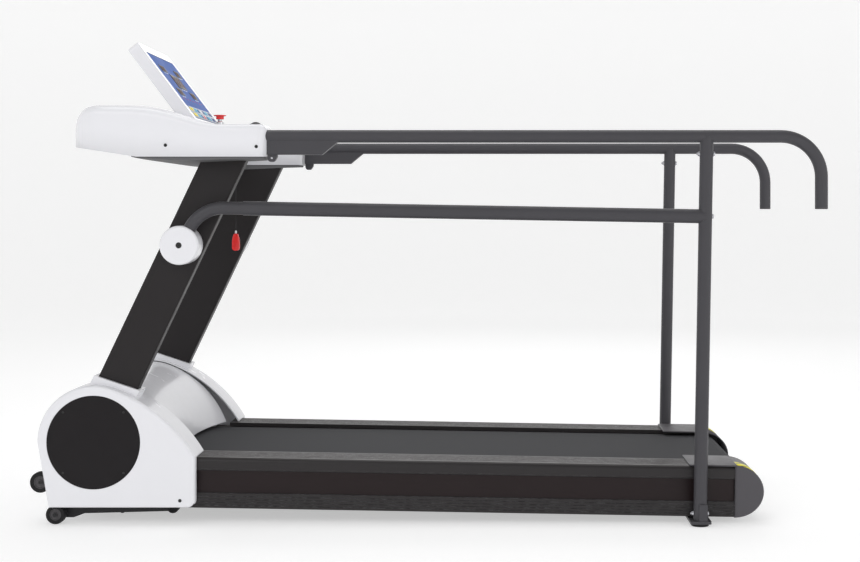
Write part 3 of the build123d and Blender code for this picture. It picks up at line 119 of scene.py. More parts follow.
# ---------------------------------------------------------------- shader groups
def node(tree: bpy.types.NodeTree, kind: str, inputs: dict | None = None, **settings: object) -> bpy.types.Node:
    """Add a shader node, set it up and join it.

    Args:
        tree: the node tree that takes the node.
        kind: the node's type, without its ShaderNode prefix.
        inputs: socket name or index to a value or to another node's output.
        settings: properties of the node.

    Returns:
        The new node.
    """
    made = tree.nodes.new("ShaderNode" + kind)
    for key, value in settings.items():
        setattr(made, key, value)
    for key, value in (inputs or {}).items():
        if isinstance(value, bpy.types.NodeSocket):
            tree.links.new(value, made.inputs[key])
        else:
            made.inputs[key].default_value = value
    return made


def new_group(name: str, inputs: dict[str, str], outputs: dict[str, str]) -> tuple:
    """Start a shader node group.

    Args:
        name: the group's name.
        inputs: input name to socket type.
        outputs: output name to socket type.

    Returns:
        The tree, the node that holds its inputs and the node that takes its outputs.
    """
    tree = bpy.data.node_groups.new(name, "ShaderNodeTree")
    for label, kind in inputs.items():
        tree.interface.new_socket(label, in_out="INPUT", socket_type="NodeSocket" + kind)
    for label, kind in outputs.items():
        tree.interface.new_socket(label, in_out="OUTPUT", socket_type="NodeSocket" + kind)
    return tree, tree.nodes.new("NodeGroupInput"), tree.nodes.new("NodeGroupOutput")


def drift_group() -> bpy.types.NodeTree:
    """Slow change of lightness over a surface, as moulding and coating leave it.

    Returns:
        The group's tree.
    """
    tree, given, out = new_group(
        "tone_drift", {"Vector": "Vector", "Color": "Color", "Scale": "Float", "Amount": "Float"},
        {"Color": "Color"})
    cloud = node(tree, "TexNoise", {"Vector": given.outputs["Vector"], "Scale": given.outputs["Scale"],
                                    "Detail": 4.0})
    centred = node(tree, "Math", {0: cloud.outputs["Fac"], 1: 0.5}, operation="SUBTRACT")
    swing = node(tree, "Math", {0: centred.outputs[0], 1: given.outputs["Amount"]}, operation="MULTIPLY")
    value = node(tree, "Math", {0: swing.outputs[0], 1: 1.0}, operation="ADD")
    tone = node(tree, "HueSaturation", {"Color": given.outputs["Color"], "Value": value.outputs[0]})
    tree.links.new(tone.outputs["Color"], out.inputs["Color"])
    return tree


def grain_group() -> bpy.types.NodeTree:
    """Fine even grain: the orange peel of a coating or the spark finish of a mould.

    Returns:
        The group's tree.
    """
    tree, given, out = new_group("fine_grain", {"Vector": "Vector", "Scale": "Float"}, {"Height": "Float"})
    coarse = node(tree, "TexNoise", {"Vector": given.outputs["Vector"], "Scale": given.outputs["Scale"],
                                     "Detail": 2.0, "Roughness": 0.6})
    pits = node(tree, "TexVoronoi", {"Vector": given.outputs["Vector"], "Scale": given.outputs["Scale"]})
    both = node(tree, "Math", {0: coarse.outputs["Fac"], 1: pits.outputs["Distance"]}, operation="ADD")
    tree.links.new(both.outputs[0], out.inputs["Height"])
    return tree


def wear_and_highlight_group() -> bpy.types.NodeTree:
    """Rounded shading at edges, and a broken mask that follows them, which the finishes use for edge wear and
    for a painted edge highlight.

    Returns:
        The group's tree.
    """
    tree, given, out = new_group(
        "edge_wear", {"Vector": "Vector", "Radius": "Float", "Scale": "Float"},
        {"Mask": "Float", "Normal": "Vector"})
    soft = node(tree, "Bevel", {"Radius": given.outputs["Radius"]}, samples=4)
    true = node(tree, "NewGeometry")
    same = node(tree, "VectorMath", {0: soft.outputs["Normal"], 1: true.outputs["Normal"]},
                operation="DOT_PRODUCT")
    edge = node(tree, "MapRange", {"Value": same.outputs["Value"], "From Min": 0.995, "From Max": 0.86})
    patch = node(tree, "TexNoise", {"Vector": given.outputs["Vector"], "Scale": given.outputs["Scale"],
                                    "Detail": 5.0})
    broken = node(tree, "MapRange", {"Value": patch.outputs["Fac"], "From Min": 0.42, "From Max": 0.6})
    mask = node(tree, "Math", {0: edge.outputs["Result"], 1: broken.outputs["Result"]}, operation="MULTIPLY")
    tree.links.new(mask.outputs[0], out.inputs["Mask"])
    tree.links.new(soft.outputs["Normal"], out.inputs["Normal"])
    return tree


def dust_group() -> bpy.types.NodeTree:
    """Mask of the dust that settles on what faces up.

    Returns:
        The group's tree.
    """
    tree, given, out = new_group("settled_dust", {"Vector": "Vector", "Amount": "Float"}, {"Mask": "Float"})
    true = node(tree, "NewGeometry")
    way = node(tree, "SeparateXYZ", {0: true.outputs["Normal"]})
    level = node(tree, "MapRange", {"Value": way.outputs["Z"], "From Min": 0.55, "From Max": 1.0})
    cloud = node(tree, "TexNoise", {"Vector": given.outputs["Vector"], "Scale": 9.0, "Detail": 8.0})
    thin = node(tree, "Math", {0: cloud.outputs["Fac"], 1: given.outputs["Amount"]}, operation="MULTIPLY")
    mask = node(tree, "Math", {0: level.outputs["Result"], 1: thin.outputs[0]}, operation="MULTIPLY")
    tree.links.new(mask.outputs[0], out.inputs["Mask"])
    return tree


SHARED = {"drift": drift_group(), "grain": grain_group(), "wear": wear_and_highlight_group(), "dust": dust_group()}


def shared(tree: bpy.types.NodeTree, name: str, inputs: dict) -> bpy.types.Node:
    """Place one of the shared groups in a material.

    Args:
        tree: the material's node tree.
        name: the group's key in SHARED.
        inputs: socket name to a value or another node's output.

    Returns:
        The group node.
    """
    made = tree.nodes.new("ShaderNodeGroup")
    made.node_tree = SHARED[name]
    for key, value in inputs.items():
        if isinstance(value, bpy.types.NodeSocket):
            tree.links.new(value, made.inputs[key])
        else:
            made.inputs[key].default_value = value
    return made


def paint(red: int, green: int, blue: int) -> tuple[float, float, float]:
    """A display colour, 0 to 255 a channel, as the shader's linear colour."""
    parts = [c / 255 for c in (red, green, blue)]
    return tuple(c / 12.92 if c <= 0.04045 else ((c + 0.055) / 1.055) ** 2.4 for c in parts)


# ---------------------------------------------------------------- finishes
WEAR_AND_HIGHLIGHT_SCALE = 60.0          # patches of edge wear and painted edge highlight to the metre
GLOSS_SCALE = 24.0         # patches of changing gloss to the metre
GLOSS_SWING = 0.12         # share by which gloss goes up and down
GRAIN_HIGH = 0.3 * MM      # height of the grain at full depth
COAT_ROUGHNESS = 0.08
DUST_COLOUR = (0.45, 0.44, 0.42, 1.0)


@dataclass(frozen=True)
class Finish:
    """A surface finish: its colour and gloss, its grain, the wear and painted highlight on its edges, and the
    dust on it.
    """

    name: str
    colour: tuple[float, float, float]
    roughness: float = 0.5
    metallic: float = 0.0
    coat: float = 0.0
    specular: float = 0.5
    drift: float = 0.06
    drift_scale: float = 7.0
    grain_scale: float = 1400.0
    grain_depth: float = 0.12
    # Edge lightening, its strength and its colour: partly wear on the edges, partly a painted edge highlight.
    wear: float = 0.15
    wear_and_highlight_colour: tuple[float, float, float] = (0.35, 0.35, 0.36)
    edge_radius: float = 0.8 * MM
    dust: float = 0.1

    def colour_at(self, tree: bpy.types.NodeTree, where: bpy.types.NodeSocket) -> bpy.types.NodeSocket:
        """Colour over the surface, before wear and dust.

        Args:
            tree: the material's node tree.
            where: object coordinates.

        Returns:
            A colour socket.
        """
        tone = shared(tree, "drift", {"Vector": where, "Color": (*self.colour, 1.0),
                                      "Scale": self.drift_scale, "Amount": self.drift})
        return tone.outputs["Color"]

    def height_at(self, tree: bpy.types.NodeTree, where: bpy.types.NodeSocket) -> bpy.types.NodeSocket:
        """Relief over the surface, for the bump.

        Args:
            tree: the material's node tree.
            where: object coordinates.

        Returns:
            A height socket.
        """
        return shared(tree, "grain", {"Vector": where, "Scale": self.grain_scale}).outputs["Height"]

    def material(self) -> bpy.types.Material:
        """The finish as a material, made the first time it is asked for.

        Returns:
            The material.
        """
        found = bpy.data.materials.get(self.name)
        if found:
            return found
        made = bpy.data.materials.new(self.name)
        made.use_nodes = True
        tree = made.node_tree
        tree.nodes.clear()
        where = node(tree, "TexCoord").outputs["Object"]
        wear = shared(tree, "wear", {"Vector": where, "Radius": self.edge_radius, "Scale": WEAR_AND_HIGHLIGHT_SCALE})
        dust = shared(tree, "dust", {"Vector": where, "Amount": self.dust})
        # Edges lighten towards the wear colour: partly edge wear, partly a painted edge highlight.
        worn_and_lit = node(tree, "Math", {0: wear.outputs["Mask"], 1: self.wear}, operation="MULTIPLY")
        rubbed_and_lit = node(tree, "Mix", {0: worn_and_lit.outputs[0], 6: self.colour_at(tree, where),
                                    7: (*self.wear_and_highlight_colour, 1.0)}, data_type="RGBA")
        dusty = node(tree, "Mix", {0: dust.outputs["Mask"], 6: rubbed_and_lit.outputs[2],
                                   7: DUST_COLOUR}, data_type="RGBA")
        cloud = node(tree, "TexNoise", {"Vector": where, "Scale": GLOSS_SCALE, "Detail": 6.0})
        gloss = node(tree, "MapRange", {"Value": cloud.outputs["Fac"], "From Min": 0.3, "From Max": 0.7,
                                        "To Min": self.roughness * (1 - GLOSS_SWING),
                                        "To Max": min(1.0, self.roughness * (1 + GLOSS_SWING))})
        matt = node(tree, "Math", {0: gloss.outputs["Result"], 1: dust.outputs["Mask"]}, operation="ADD",
                    use_clamp=True)
        bump = node(tree, "Bump", {"Strength": self.grain_depth, "Distance": GRAIN_HIGH,
                                   "Height": self.height_at(tree, where), "Normal": wear.outputs["Normal"]})
        shader = node(tree, "BsdfPrincipled", {
            "Base Color": dusty.outputs[2], "Roughness": matt.outputs[0], "Metallic": self.metallic,
            "Specular IOR Level": self.specular, "Coat Weight": self.coat, "Coat Roughness": COAT_ROUGHNESS,
            "Normal": bump.outputs["Normal"]})
        out = node(tree, "OutputMaterial", {"Surface": shader.outputs[0]})
        out.is_active_output = True
        return made


@dataclass(frozen=True)
class TreadBelt(Finish):
    """Walking belt: small raised diamonds pressed into dark rubber."""

    pitch: float = 4.2 * MM

    def height_at(self, tree: bpy.types.NodeTree, where: bpy.types.NodeSocket) -> bpy.types.NodeSocket:
        """Diamonds from two sets of ridges that cross at 45 degrees.

        Args:
            tree: the material's node tree.
            where: object coordinates.

        Returns:
            A height socket.
        """
        turned = node(tree, "Mapping", {"Vector": where, "Rotation": (0, 0, math.radians(45))})
        split = node(tree, "SeparateXYZ", {0: turned.outputs[0]})
        ridges = []
        for axis in "XY":
            phase = node(tree, "Math", {0: split.outputs[axis], 1: math.tau / self.pitch}, operation="MULTIPLY")
            ridges.append(node(tree, "Math", {0: phase.outputs[0]}, operation="SINE").outputs[0])
        return node(tree, "Math", {0: ridges[0], 1: ridges[1]}, operation="MULTIPLY").outputs[0]


@dataclass(frozen=True)
class GrainedRail(Finish):
    """Extruded rail: satin sides, and a streaked grain along the tread on top."""

    streak: tuple[float, float, float] = (0.13, 0.12, 0.12)
    tread_z: float = 150 * MM
    tread_blend: float = 4 * MM

    def colour_at(self, tree: bpy.types.NodeTree, where: bpy.types.NodeSocket) -> bpy.types.NodeSocket:
        """Streaks drawn out along the rail wherever the metal faces up.

        Args:
            tree: the material's node tree.
            where: object coordinates.

        Returns:
            A colour socket.
        """
        plain = Finish.colour_at(self, tree, where)
        drawn = node(tree, "Mapping", {"Vector": where, "Scale": (3.2, 90.0, 3.2)})
        grain = node(tree, "TexNoise", {"Vector": drawn.outputs[0], "Scale": 1.6, "Detail": 7.0,
                                        "Distortion": 0.9})
        band = node(tree, "MapRange", {"Value": grain.outputs["Fac"], "From Min": 0.3, "From Max": 0.72})
        way = node(tree, "SeparateXYZ", {0: node(tree, "NewGeometry").outputs["Normal"]})
        top = node(tree, "MapRange", {"Value": way.outputs["Z"], "From Min": 0.9, "From Max": 0.99})
        height = node(tree, "SeparateXYZ", {0: where}).outputs["Z"]
        tread = node(tree, "MapRange", {"Value": height, "From Min": self.tread_z,
                                        "From Max": self.tread_z + self.tread_blend})
        level = node(tree, "Math", {0: tread.outputs["Result"], 1: top.outputs["Result"]}, operation="MULTIPLY")
        mask = node(tree, "Math", {0: band.outputs["Result"], 1: level.outputs[0]}, operation="MULTIPLY")
        mixed = node(tree, "Mix", {0: mask.outputs[0], 6: plain, 7: (*self.streak, 1.0)}, data_type="RGBA")
        return mixed.outputs[2]


@dataclass(frozen=True)
class Laminate(Finish):
    """Waxed board: long wood fibres in two tones."""

    fibre: tuple[float, float, float] = (0.05, 0.036, 0.028)

    def colour_at(self, tree: bpy.types.NodeTree, where: bpy.types.NodeSocket) -> bpy.types.NodeSocket:
        """Fibres drawn out along the board.

        Args:
            tree: the material's node tree.
            where: object coordinates.

        Returns:
            A colour socket.
        """
        drawn = node(tree, "Mapping", {"Vector": where, "Scale": (2.0, 60.0, 60.0)})
        fibre = node(tree, "TexNoise", {"Vector": drawn.outputs[0], "Scale": 2.5, "Detail": 6.0})
        mixed = node(tree, "Mix", {0: fibre.outputs["Fac"], 6: (*self.colour, 1.0), 7: (*self.fibre, 1.0)},
                     data_type="RGBA")
        return mixed.outputs[2]


@dataclass(frozen=True)
class Hazard(Finish):
    """Safety strip: yellow with slanting dark bars."""

    bar: tuple[float, float, float] = (0.12, 0.11, 0.02)
    pitch: float = 26 * MM

    def colour_at(self, tree: bpy.types.NodeTree, where: bpy.types.NodeSocket) -> bpy.types.NodeSocket:
        """Bars slanting across the strip.

        Args:
            tree: the material's node tree.
            where: object coordinates.

        Returns:
            A colour socket.
        """
        turned = node(tree, "Mapping", {"Vector": where, "Rotation": (0, 0, math.radians(35))})
        across = node(tree, "SeparateXYZ", {0: turned.outputs[0]})
        phase = node(tree, "Math", {0: across.outputs["X"], 1: math.tau / self.pitch}, operation="MULTIPLY")
        wave = node(tree, "Math", {0: phase.outputs[0]}, operation="SINE")
        mask = node(tree, "MapRange", {"Value": wave.outputs[0], "From Min": 0.78, "From Max": 0.86})
        mixed = node(tree, "Mix", {0: mask.outputs["Result"], 6: (*self.colour, 1.0), 7: (*self.bar, 1.0)},
                     data_type="RGBA")
        return mixed.outputs[2]


@dataclass(frozen=True)
class Circuit(Finish):
    """Printed board: solder mask with lighter tracks and pads."""

    track: tuple[float, float, float] = (0.12, 0.4, 0.18)

    def colour_at(self, tree: bpy.types.NodeTree, where: bpy.types.NodeSocket) -> bpy.types.NodeSocket:
        """Tracks as the borders of square cells.

        Args:
            tree: the material's node tree.
            where: object coordinates.

        Returns:
            A colour socket.
        """
        cells = node(tree, "TexVoronoi", {"Vector": where, "Scale": 90.0}, feature="DISTANCE_TO_EDGE")
        line = node(tree, "MapRange", {"Value": cells.outputs["Distance"], "From Min": 0.09, "From Max": 0.05})
        mixed = node(tree, "Mix", {0: line.outputs["Result"], 6: (*self.colour, 1.0), 7: (*self.track, 1.0)},
                     data_type="RGBA")
        return mixed.outputs[2]


@dataclass(frozen=True)
class Turned(Finish):
    """Turned or drawn steel: fine lines that run round or along the piece."""

    stretch: tuple[float, float, float] = (1.0, 40.0, 1.0)

    def height_at(self, tree: bpy.types.NodeTree, where: bpy.types.NodeSocket) -> bpy.types.NodeSocket:
        """Lines packed tight across the drawn direction.

        Args:
            tree: the material's node tree.
            where: object coordinates.

        Returns:
            A height socket.
        """
        drawn = node(tree, "Mapping", {"Vector": where, "Scale": self.stretch})
        return node(tree, "TexNoise", {"Vector": drawn.outputs[0], "Scale": 60.0, "Detail": 4.0}).outputs["Fac"]


@dataclass(frozen=True)
class Braid(Finish):
    """Braided cord: strands that cross as they climb."""

    pitch: float = 1.6 * MM

    def height_at(self, tree: bpy.types.NodeTree, where: bpy.types.NodeSocket) -> bpy.types.NodeSocket:
        """Strands as crossing waves up the cord.

        Args:
            tree: the material's node tree.
            where: object coordinates.

        Returns:
            A height socket.
        """
        waves = []
        for turn in (40, -40):
            turned = node(tree, "Mapping", {"Vector": where, "Rotation": (math.radians(turn), 0, 0)})
            split = node(tree, "SeparateXYZ", {0: turned.outputs[0]})
            phase = node(tree, "Math", {0: split.outputs["Z"], 1: math.tau / self.pitch}, operation="MULTIPLY")
            waves.append(node(tree, "Math", {0: phase.outputs[0]}, operation="SINE").outputs[0])
        return node(tree, "Math", {0: waves[0], 1: waves[1]}, operation="MAXIMUM").outputs[0]


class Look(Enum):
    """The machine's finishes, by the piece or the stuff that they cover."""

    RAIL_COAT = Finish("rail_coat", paint(68, 67, 71), 0.4, specular=0.3, drift=0.1, grain_scale=2200,
                       grain_depth=0.35, wear=0.12)
    UPRIGHT = Finish("upright_satin", paint(38, 35, 36), 0.42, specular=0.22, drift=0.14, drift_scale=3.0,
                     grain_depth=0.1, wear=0.4, wear_and_highlight_colour=(0.16, 0.16, 0.17))
    SIDE_RAIL = GrainedRail("side_rail_satin", paint(40, 37, 38), 0.34, specular=0.3, wear=0.6,
                            grain_depth=0.08, edge_radius=0.9 * MM)
    SIDE_PANEL = Finish("side_panel_film", paint(34, 25, 26), 0.38, specular=0.2, drift=0.1,
                        grain_depth=0.08, wear=0.1)
    WHITE = Finish("white_gloss", paint(233, 233, 237), 0.24, coat=0.2, specular=0.4, drift=0.015,
                   grain_scale=500, grain_depth=0.03, wear=0.0, edge_radius=2.2 * MM, dust=0.03)
    DISC = Finish("disc_film", paint(26, 23, 25), 0.5, specular=0.2, drift=0.12, grain_depth=0.14, wear=0.1)
    CAP = Finish("cap_plastic", paint(80, 78, 82), 0.42, specular=0.3, drift=0.07, grain_scale=1700,
                 grain_depth=0.3, edge_radius=2.0 * MM)
    DARK = Finish("dark_plastic", paint(36, 35, 38), 0.45, specular=0.3, grain_depth=0.2, edge_radius=1.0 * MM)
    TRAY = Finish("tray_plastic", paint(92, 92, 95), 0.42, grain_depth=0.2, edge_radius=2.0 * MM)
    BELT = TreadBelt("belt_rubber", paint(24, 24, 25), 0.74, specular=0.12, drift=0.12, drift_scale=3.0,
                     grain_depth=0.55, wear=0.0, dust=0.07)
    RUBBER = Finish("black_rubber", paint(26, 26, 27), 0.62, specular=0.25, drift=0.15, drift_scale=20,
                    grain_depth=0.3, wear=0.2)
    BOARD = Laminate("deck_laminate", paint(50, 43, 39), 0.35, specular=0.3, grain_depth=0.1)
    FRAME = Finish("frame_coat", paint(34, 34, 36), 0.5, specular=0.3, grain_scale=1500,
                   grain_depth=0.3, wear=0.3)
    STEEL = Turned("ground_steel", (0.55, 0.55, 0.57), 0.28, metallic=1.0, grain_depth=0.2, wear=0.0, dust=0.05)
    IRON = Finish("motor_paint", paint(52, 52, 55), 0.45, grain_scale=700, grain_depth=0.4, wear=0.3)
    CIRCUIT = Circuit("circuit_mask", (0.02, 0.14, 0.06), 0.35, grain_depth=0.1, wear=0.0)
    FACE_BLUE = Finish("face_blue", paint(66, 98, 170), 0.55, specular=0.05, drift=0.12, drift_scale=9,
                       grain_depth=0.03, wear=0.0)
    FACE_GREY = Finish("face_grey", paint(184, 190, 200), 0.5, specular=0.1, drift=0.05,
                       grain_depth=0.05, wear=0.0)
    WINDOW = Finish("window_smoke", paint(52, 46, 48), 0.4, specular=0.08, drift=0.1,
                    grain_depth=0.02, wear=0.0)
    DIGIT = Finish("digit_unlit", paint(98, 58, 56), 0.5, specular=0.05, drift=0.1, grain_depth=0.02, wear=0.0)
    INK = Finish("label_ink", paint(226, 230, 236), 0.4, drift=0.04, grain_depth=0.05, wear=0.0)
    YELLOW = Finish("key_yellow", paint(240, 222, 60), 0.45, specular=0.15, drift=0.05, grain_depth=0.1,
                    wear=0.0)
    CYAN = Finish("key_cyan", paint(92, 178, 206), 0.45, specular=0.15, drift=0.05, grain_depth=0.1,
                  wear=0.0)
    NAVY = Finish("key_navy", paint(48, 70, 132), 0.45, specular=0.15, drift=0.05, grain_depth=0.1,
                  wear=0.0)
    RED = Finish("stop_red", paint(226, 34, 40), 0.22, coat=0.5, drift=0.05, grain_depth=0.05, wear=0.1,
                 wear_and_highlight_colour=(0.5, 0.08, 0.08))
    HAZARD = Hazard("hazard_film", paint(240, 230, 62), 0.4, grain_depth=0.2, wear=0.0)
    SCREW = Turned("screw_black", (0.03, 0.03, 0.032), 0.35, metallic=0.7, grain_depth=0.15, wear=0.5)
    ZINC = Turned("zinc_plate", (0.5, 0.5, 0.53), 0.3, metallic=1.0, grain_depth=0.15, wear=0.0)
    CHROME = Turned("collar_chrome", (0.72, 0.72, 0.74), 0.14, metallic=1.0, grain_depth=0.06, wear=0.0)
    CORD = Braid("cord_braid", paint(40, 40, 42), 0.7, grain_depth=0.6, wear=0.0)

    def material(self) -> bpy.types.Material:
        """The finish's material."""
        return self.value.material()


# ---------------------------------------------------------------- mesh work
class Shape:
    """A mesh under construction, in its own metres until it is placed."""

    def __init__(self) -> None:
        """Start empty."""
        self.bm = bmesh.new()

    @classmethod
    def slab(cls, corners: Sequence[Point], depth: float, radii: Sequence[float] = (),
             steps: int = 6) -> "Shape":
        """A flat outline in XY with rounded corners, given a depth along +Z.

        Args:
            corners: the outline's corners in order.
            depth: how far it reaches along +Z.
            radii: each corner's radius, or one for all of them.
            steps: chords to a rounded corner.

        Returns:
            The closed shape.
        """
        shape = cls()
        verts = [shape.bm.verts.new((x, y, 0)) for x, y in corners]
        shape.bm.faces.new(verts)
        each = list(radii) * len(verts) if len(radii) == 1 else list(radii)
        for vert, radius in zip(verts, each):
            if radius:
                bmesh.ops.bevel(shape.bm, geom=[vert], offset=radius, segments=steps, profile=0.5,
                                affect="VERTICES", material=-1)
        return shape.grow(shape.bm.faces[:], (0, 0, depth))

    @classmethod
    def box(cls, width: float, height: float, depth: float, radius: float, steps: int = 4) -> "Shape":
        """A slab centred on the origin in XY.

        Args:
            width: size along X.
            height: size along Y.
            depth: size along Z, from the origin up.
            radius: the corners' radius.
            steps: chords to a rounded corner.

        Returns:
            The closed shape.
        """
        x, y = width / 2, height / 2
        return cls.slab([(-x, -y), (x, -y), (x, y), (-x, y)], depth, [radius], steps)

    @classmethod
    def lathe(cls, profile: Sequence[Point], steps: int = 48) -> "Shape":
        """Turn a profile about Z.

        Args:
            profile: (radius, height) points in order.
            steps: faces round the axis.

        Returns:
            The turned shape.
        """
        shape = cls()
        verts = [shape.bm.verts.new((r, 0, h)) for r, h in profile]
        edges = [shape.bm.edges.new(pair) for pair in zip(verts, verts[1:])]
        bmesh.ops.spin(shape.bm, geom=verts + edges, cent=(0, 0, 0), axis=(0, 0, 1), dvec=(0, 0, 0),
                       angle=math.tau, steps=steps, use_merge=True)
        bmesh.ops.remove_doubles(shape.bm, verts=shape.bm.verts, dist=0.001 * MM)
        return shape.face_out()

    def face_out(self) -> "Shape":
        """Turn every face outwards."""
        bmesh.ops.recalc_face_normals(self.bm, faces=self.bm.faces)
        return self

    def grow(self, faces: Iterable[bmesh.types.BMFace], by: Sequence[float]) -> "Shape":
        """Extrude faces.

        Args:
            faces: the faces to extrude.
            by: the direction and distance.

        Returns:
            The same shape.
        """
        made = bmesh.ops.extrude_face_region(self.bm, geom=list(faces))
        moved = [g for g in made["geom"] if isinstance(g, bmesh.types.BMVert)]
        bmesh.ops.translate(self.bm, verts=moved, vec=by)
        return self.face_out()

    def soften(self, width: float, steps: int = 3, sharper: float = 40.0,
               where: Callable[[Vector], bool] = lambda p: True) -> "Shape":
        """Bevel the sharp edges.

        Args:
            width: the bevel's width.
            steps: its number of chords.
            sharper: only edges that turn by more than this many degrees.
            where: only edges whose middle passes this test.

        Returns:
            The same shape.
        """
        sharp = [e for e in self.bm.edges if len(e.link_faces) == 2
                 and e.calc_face_angle(0) > math.radians(sharper)
                 and where((e.verts[0].co + e.verts[1].co) / 2)]
        bmesh.ops.bevel(self.bm, geom=sharp, offset=width, segments=steps, profile=0.5, affect="EDGES",
                        clamp_overlap=True, material=-1)
        return self

    def cut(self, axis: int, stations: Iterable[float]) -> "Shape":
        """Slice the mesh across an axis, keeping both sides.

        Args:
            axis: 0, 1 or 2.
            stations: where along the axis.

        Returns:
            The same shape.
        """
        normal = Vector((0, 0, 0))
        normal[axis] = 1
        for at in stations:
            everything = self.bm.verts[:] + self.bm.edges[:] + self.bm.faces[:]
            bmesh.ops.bisect_plane(self.bm, geom=everything, plane_co=normal * at, plane_no=normal,
                                   dist=0.01 * MM)
        return self

    def drop(self, test: Callable[[bmesh.types.BMFace], bool]) -> "Shape":
        """Delete the faces that pass a test, with what only they used."""
        bmesh.ops.delete(self.bm, geom=[f for f in self.bm.faces if test(f)], context="FACES")
        return self

    def bend(self, moved: Callable[[Vector], Sequence[float]]) -> "Shape":
        """Move every vertex to where a function sends it.

        Args:
            moved: gives a vertex's new place from its old one.

        Returns:
            The same shape.
        """
        for vert in self.bm.verts:
            vert.co = moved(vert.co)
        return self

    def place(self, matrix: Matrix) -> "Shape":
        """Carry the mesh into another frame."""
        bmesh.ops.transform(self.bm, matrix=matrix, verts=self.bm.verts)
        return self

    def join(self, other: "Shape") -> "Shape":
        """Take in another shape's mesh as separate pieces.

        Args:
            other: the shape to take in, which stays as it is.

        Returns:
            The same shape.
        """
        carrier = bpy.data.meshes.new("carrier")
        other.bm.to_mesh(carrier)
        self.bm.from_mesh(carrier)
        bpy.data.meshes.remove(carrier)
        return self

    def piece(self, name: str, look: Look, body: str = CHASSIS, stands_for: Sequence[str] = (),
              slot: str = "", wall: float = 0.0, crisp: float = 34.0) -> bpy.types.Object:
        """Finish the shape as an object of the scene.

        Args:
            name: the piece's name.
            look: its finish.
            body: the body that it rides on.
            stands_for: the frame's nodes that it replaces.
            slot: not used.
            wall: thickness that an open skin is given inwards.
            crisp: edges that turn by more than this many degrees stay sharp in the shading.

        Returns:
            The finished object.
        """
        for face in self.bm.faces:
            face.smooth = True
        for edge in self.bm.edges:
            edge.smooth = not (len(edge.link_faces) == 2 and edge.calc_face_angle(0) > math.radians(crisp))
        mesh = bpy.data.meshes.new(name)
        self.bm.to_mesh(mesh)
        self.bm.free()
        made = bpy.data.objects.new(name, mesh)
        bpy.context.scene.collection.objects.link(made)
        mesh.materials.append(look.material())
        if wall:
            skin = made.modifiers.new("wall", "SOLIDIFY")
            skin.thickness = wall
            skin.offset = -1
        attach(made, body)
        if stands_for:
            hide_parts(*stands_for)
        return made


# ---------------------------------------------------------------- studio
@dataclass
class Studio:
    """Camera, lights and the pale round stage."""

    eye: tuple[float, float, float] = (0.183, -4.63, 0.9365)
    focal: float = 1418.9
    frame_wide: float = 860.0
    right: float = 60.0
    down: float = 72.0
    stage_r: float = 11.0
    stage_bend: float = 3.0
    stage_high: float = 7.0
    stage_colour: tuple[float, float, float, float] = (0.62, 0.62, 0.62, 1)
    stage_glow: float = 0.77
    air: float = 0.35

    def camera(self) -> None:
        """Set the camera square to the machine's side, with its picture shifted to the machine."""
        data = bpy.data.cameras.new("camera")
        made = bpy.data.objects.new("camera", data)
        bpy.context.scene.collection.objects.link(made)
        made.location = self.eye
        made.rotation_euler = (math.radians(90), 0, 0)
        data.lens = self.focal * data.sensor_width / self.frame_wide
        data.shift_x = -self.right / self.frame_wide
        data.shift_y = -self.down / self.frame_wide
        bpy.context.scene.camera = made

    def softbox(self, name: str, at: tuple, aim: tuple, wide: float, high: float, watts: float) -> None:
        """Hang an area light.

        Args:
            name: the light's name.
            at: where it hangs.
            aim: the point that it faces.
            wide: its width.
            high: its height.
            watts: its power.
        """
        data = bpy.data.lights.new(name, "AREA")
        data.shape = "RECTANGLE"
        data.size, data.size_y, data.energy = wide, high, watts
        made = bpy.data.objects.new(name, data)
        bpy.context.scene.collection.objects.link(made)
        made.location = at
        made.rotation_euler = (Vector(aim) - Vector(at)).to_track_quat("-Z", "Y").to_euler()

    def backdrop(self) -> None:
        """Pale floor that rises all round into a low wall, so that no horizon shows."""
        bend = arc(self.stage_r - self.stage_bend, self.stage_bend, self.stage_bend, -90, 0, 14)
        stage = Shape.lathe([(0.0, 0.0), *bend, (self.stage_r, self.stage_high)], steps=96)
        for face in stage.bm.faces:
            face.smooth = True
            face.normal_flip()
        mesh = bpy.data.meshes.new("stage")
        stage.bm.to_mesh(mesh)
        made = bpy.data.objects.new("stage", mesh)
        bpy.context.scene.collection.objects.link(made)
        pale = bpy.data.materials.new("stage_paper")
        pale.use_nodes = True
        tree = pale.node_tree
        tree.nodes.clear()
        where = node(tree, "TexCoord").outputs["Object"]
        tone = shared(tree, "drift", {"Vector": where, "Color": self.stage_colour, "Scale": 0.4,
                                      "Amount": 0.01})
        shader = node(tree, "BsdfPrincipled", {"Base Color": tone.outputs[0], "Roughness": 0.9,
                                               "Emission Color": tone.outputs[0],
                                               "Emission Strength": self.stage_glow})
        node(tree, "OutputMaterial", {"Surface": shader.outputs[0]})
        mesh.materials.append(pale)

    def build(self) -> None:
        """Make the whole studio."""
        self.camera()
        self.backdrop()
        self.softbox("key_light", (-2.6, -4.6, 4.2), (-0.3, 0, 0.6), 3.4, 2.6, 55)
        self.softbox("fill_light", (4.0, -3.6, 2.2), (0.2, 0, 0.6), 3.0, 3.0, 26)
        self.softbox("top_light", (0.0, 0.4, 4.6), (0.0, 0, 0.5), 4.2, 2.4, 60)
        self.softbox("back_light", (0.6, 5.0, 3.4), (0.0, 0, 0.7), 4.0, 2.2, 40)
        world = bpy.data.worlds.new("studio_air")
        world.use_nodes = True
        world.node_tree.nodes["Background"].inputs["Color"].default_value = (1.0, 1.0, 1.0, 1)
        world.node_tree.nodes["Background"].inputs["Strength"].default_value = self.air
        bpy.context.scene.world = world
        bpy.context.scene.view_settings.view_transform = "Standard"
        log.info("studio: camera, four softboxes and a round stage")


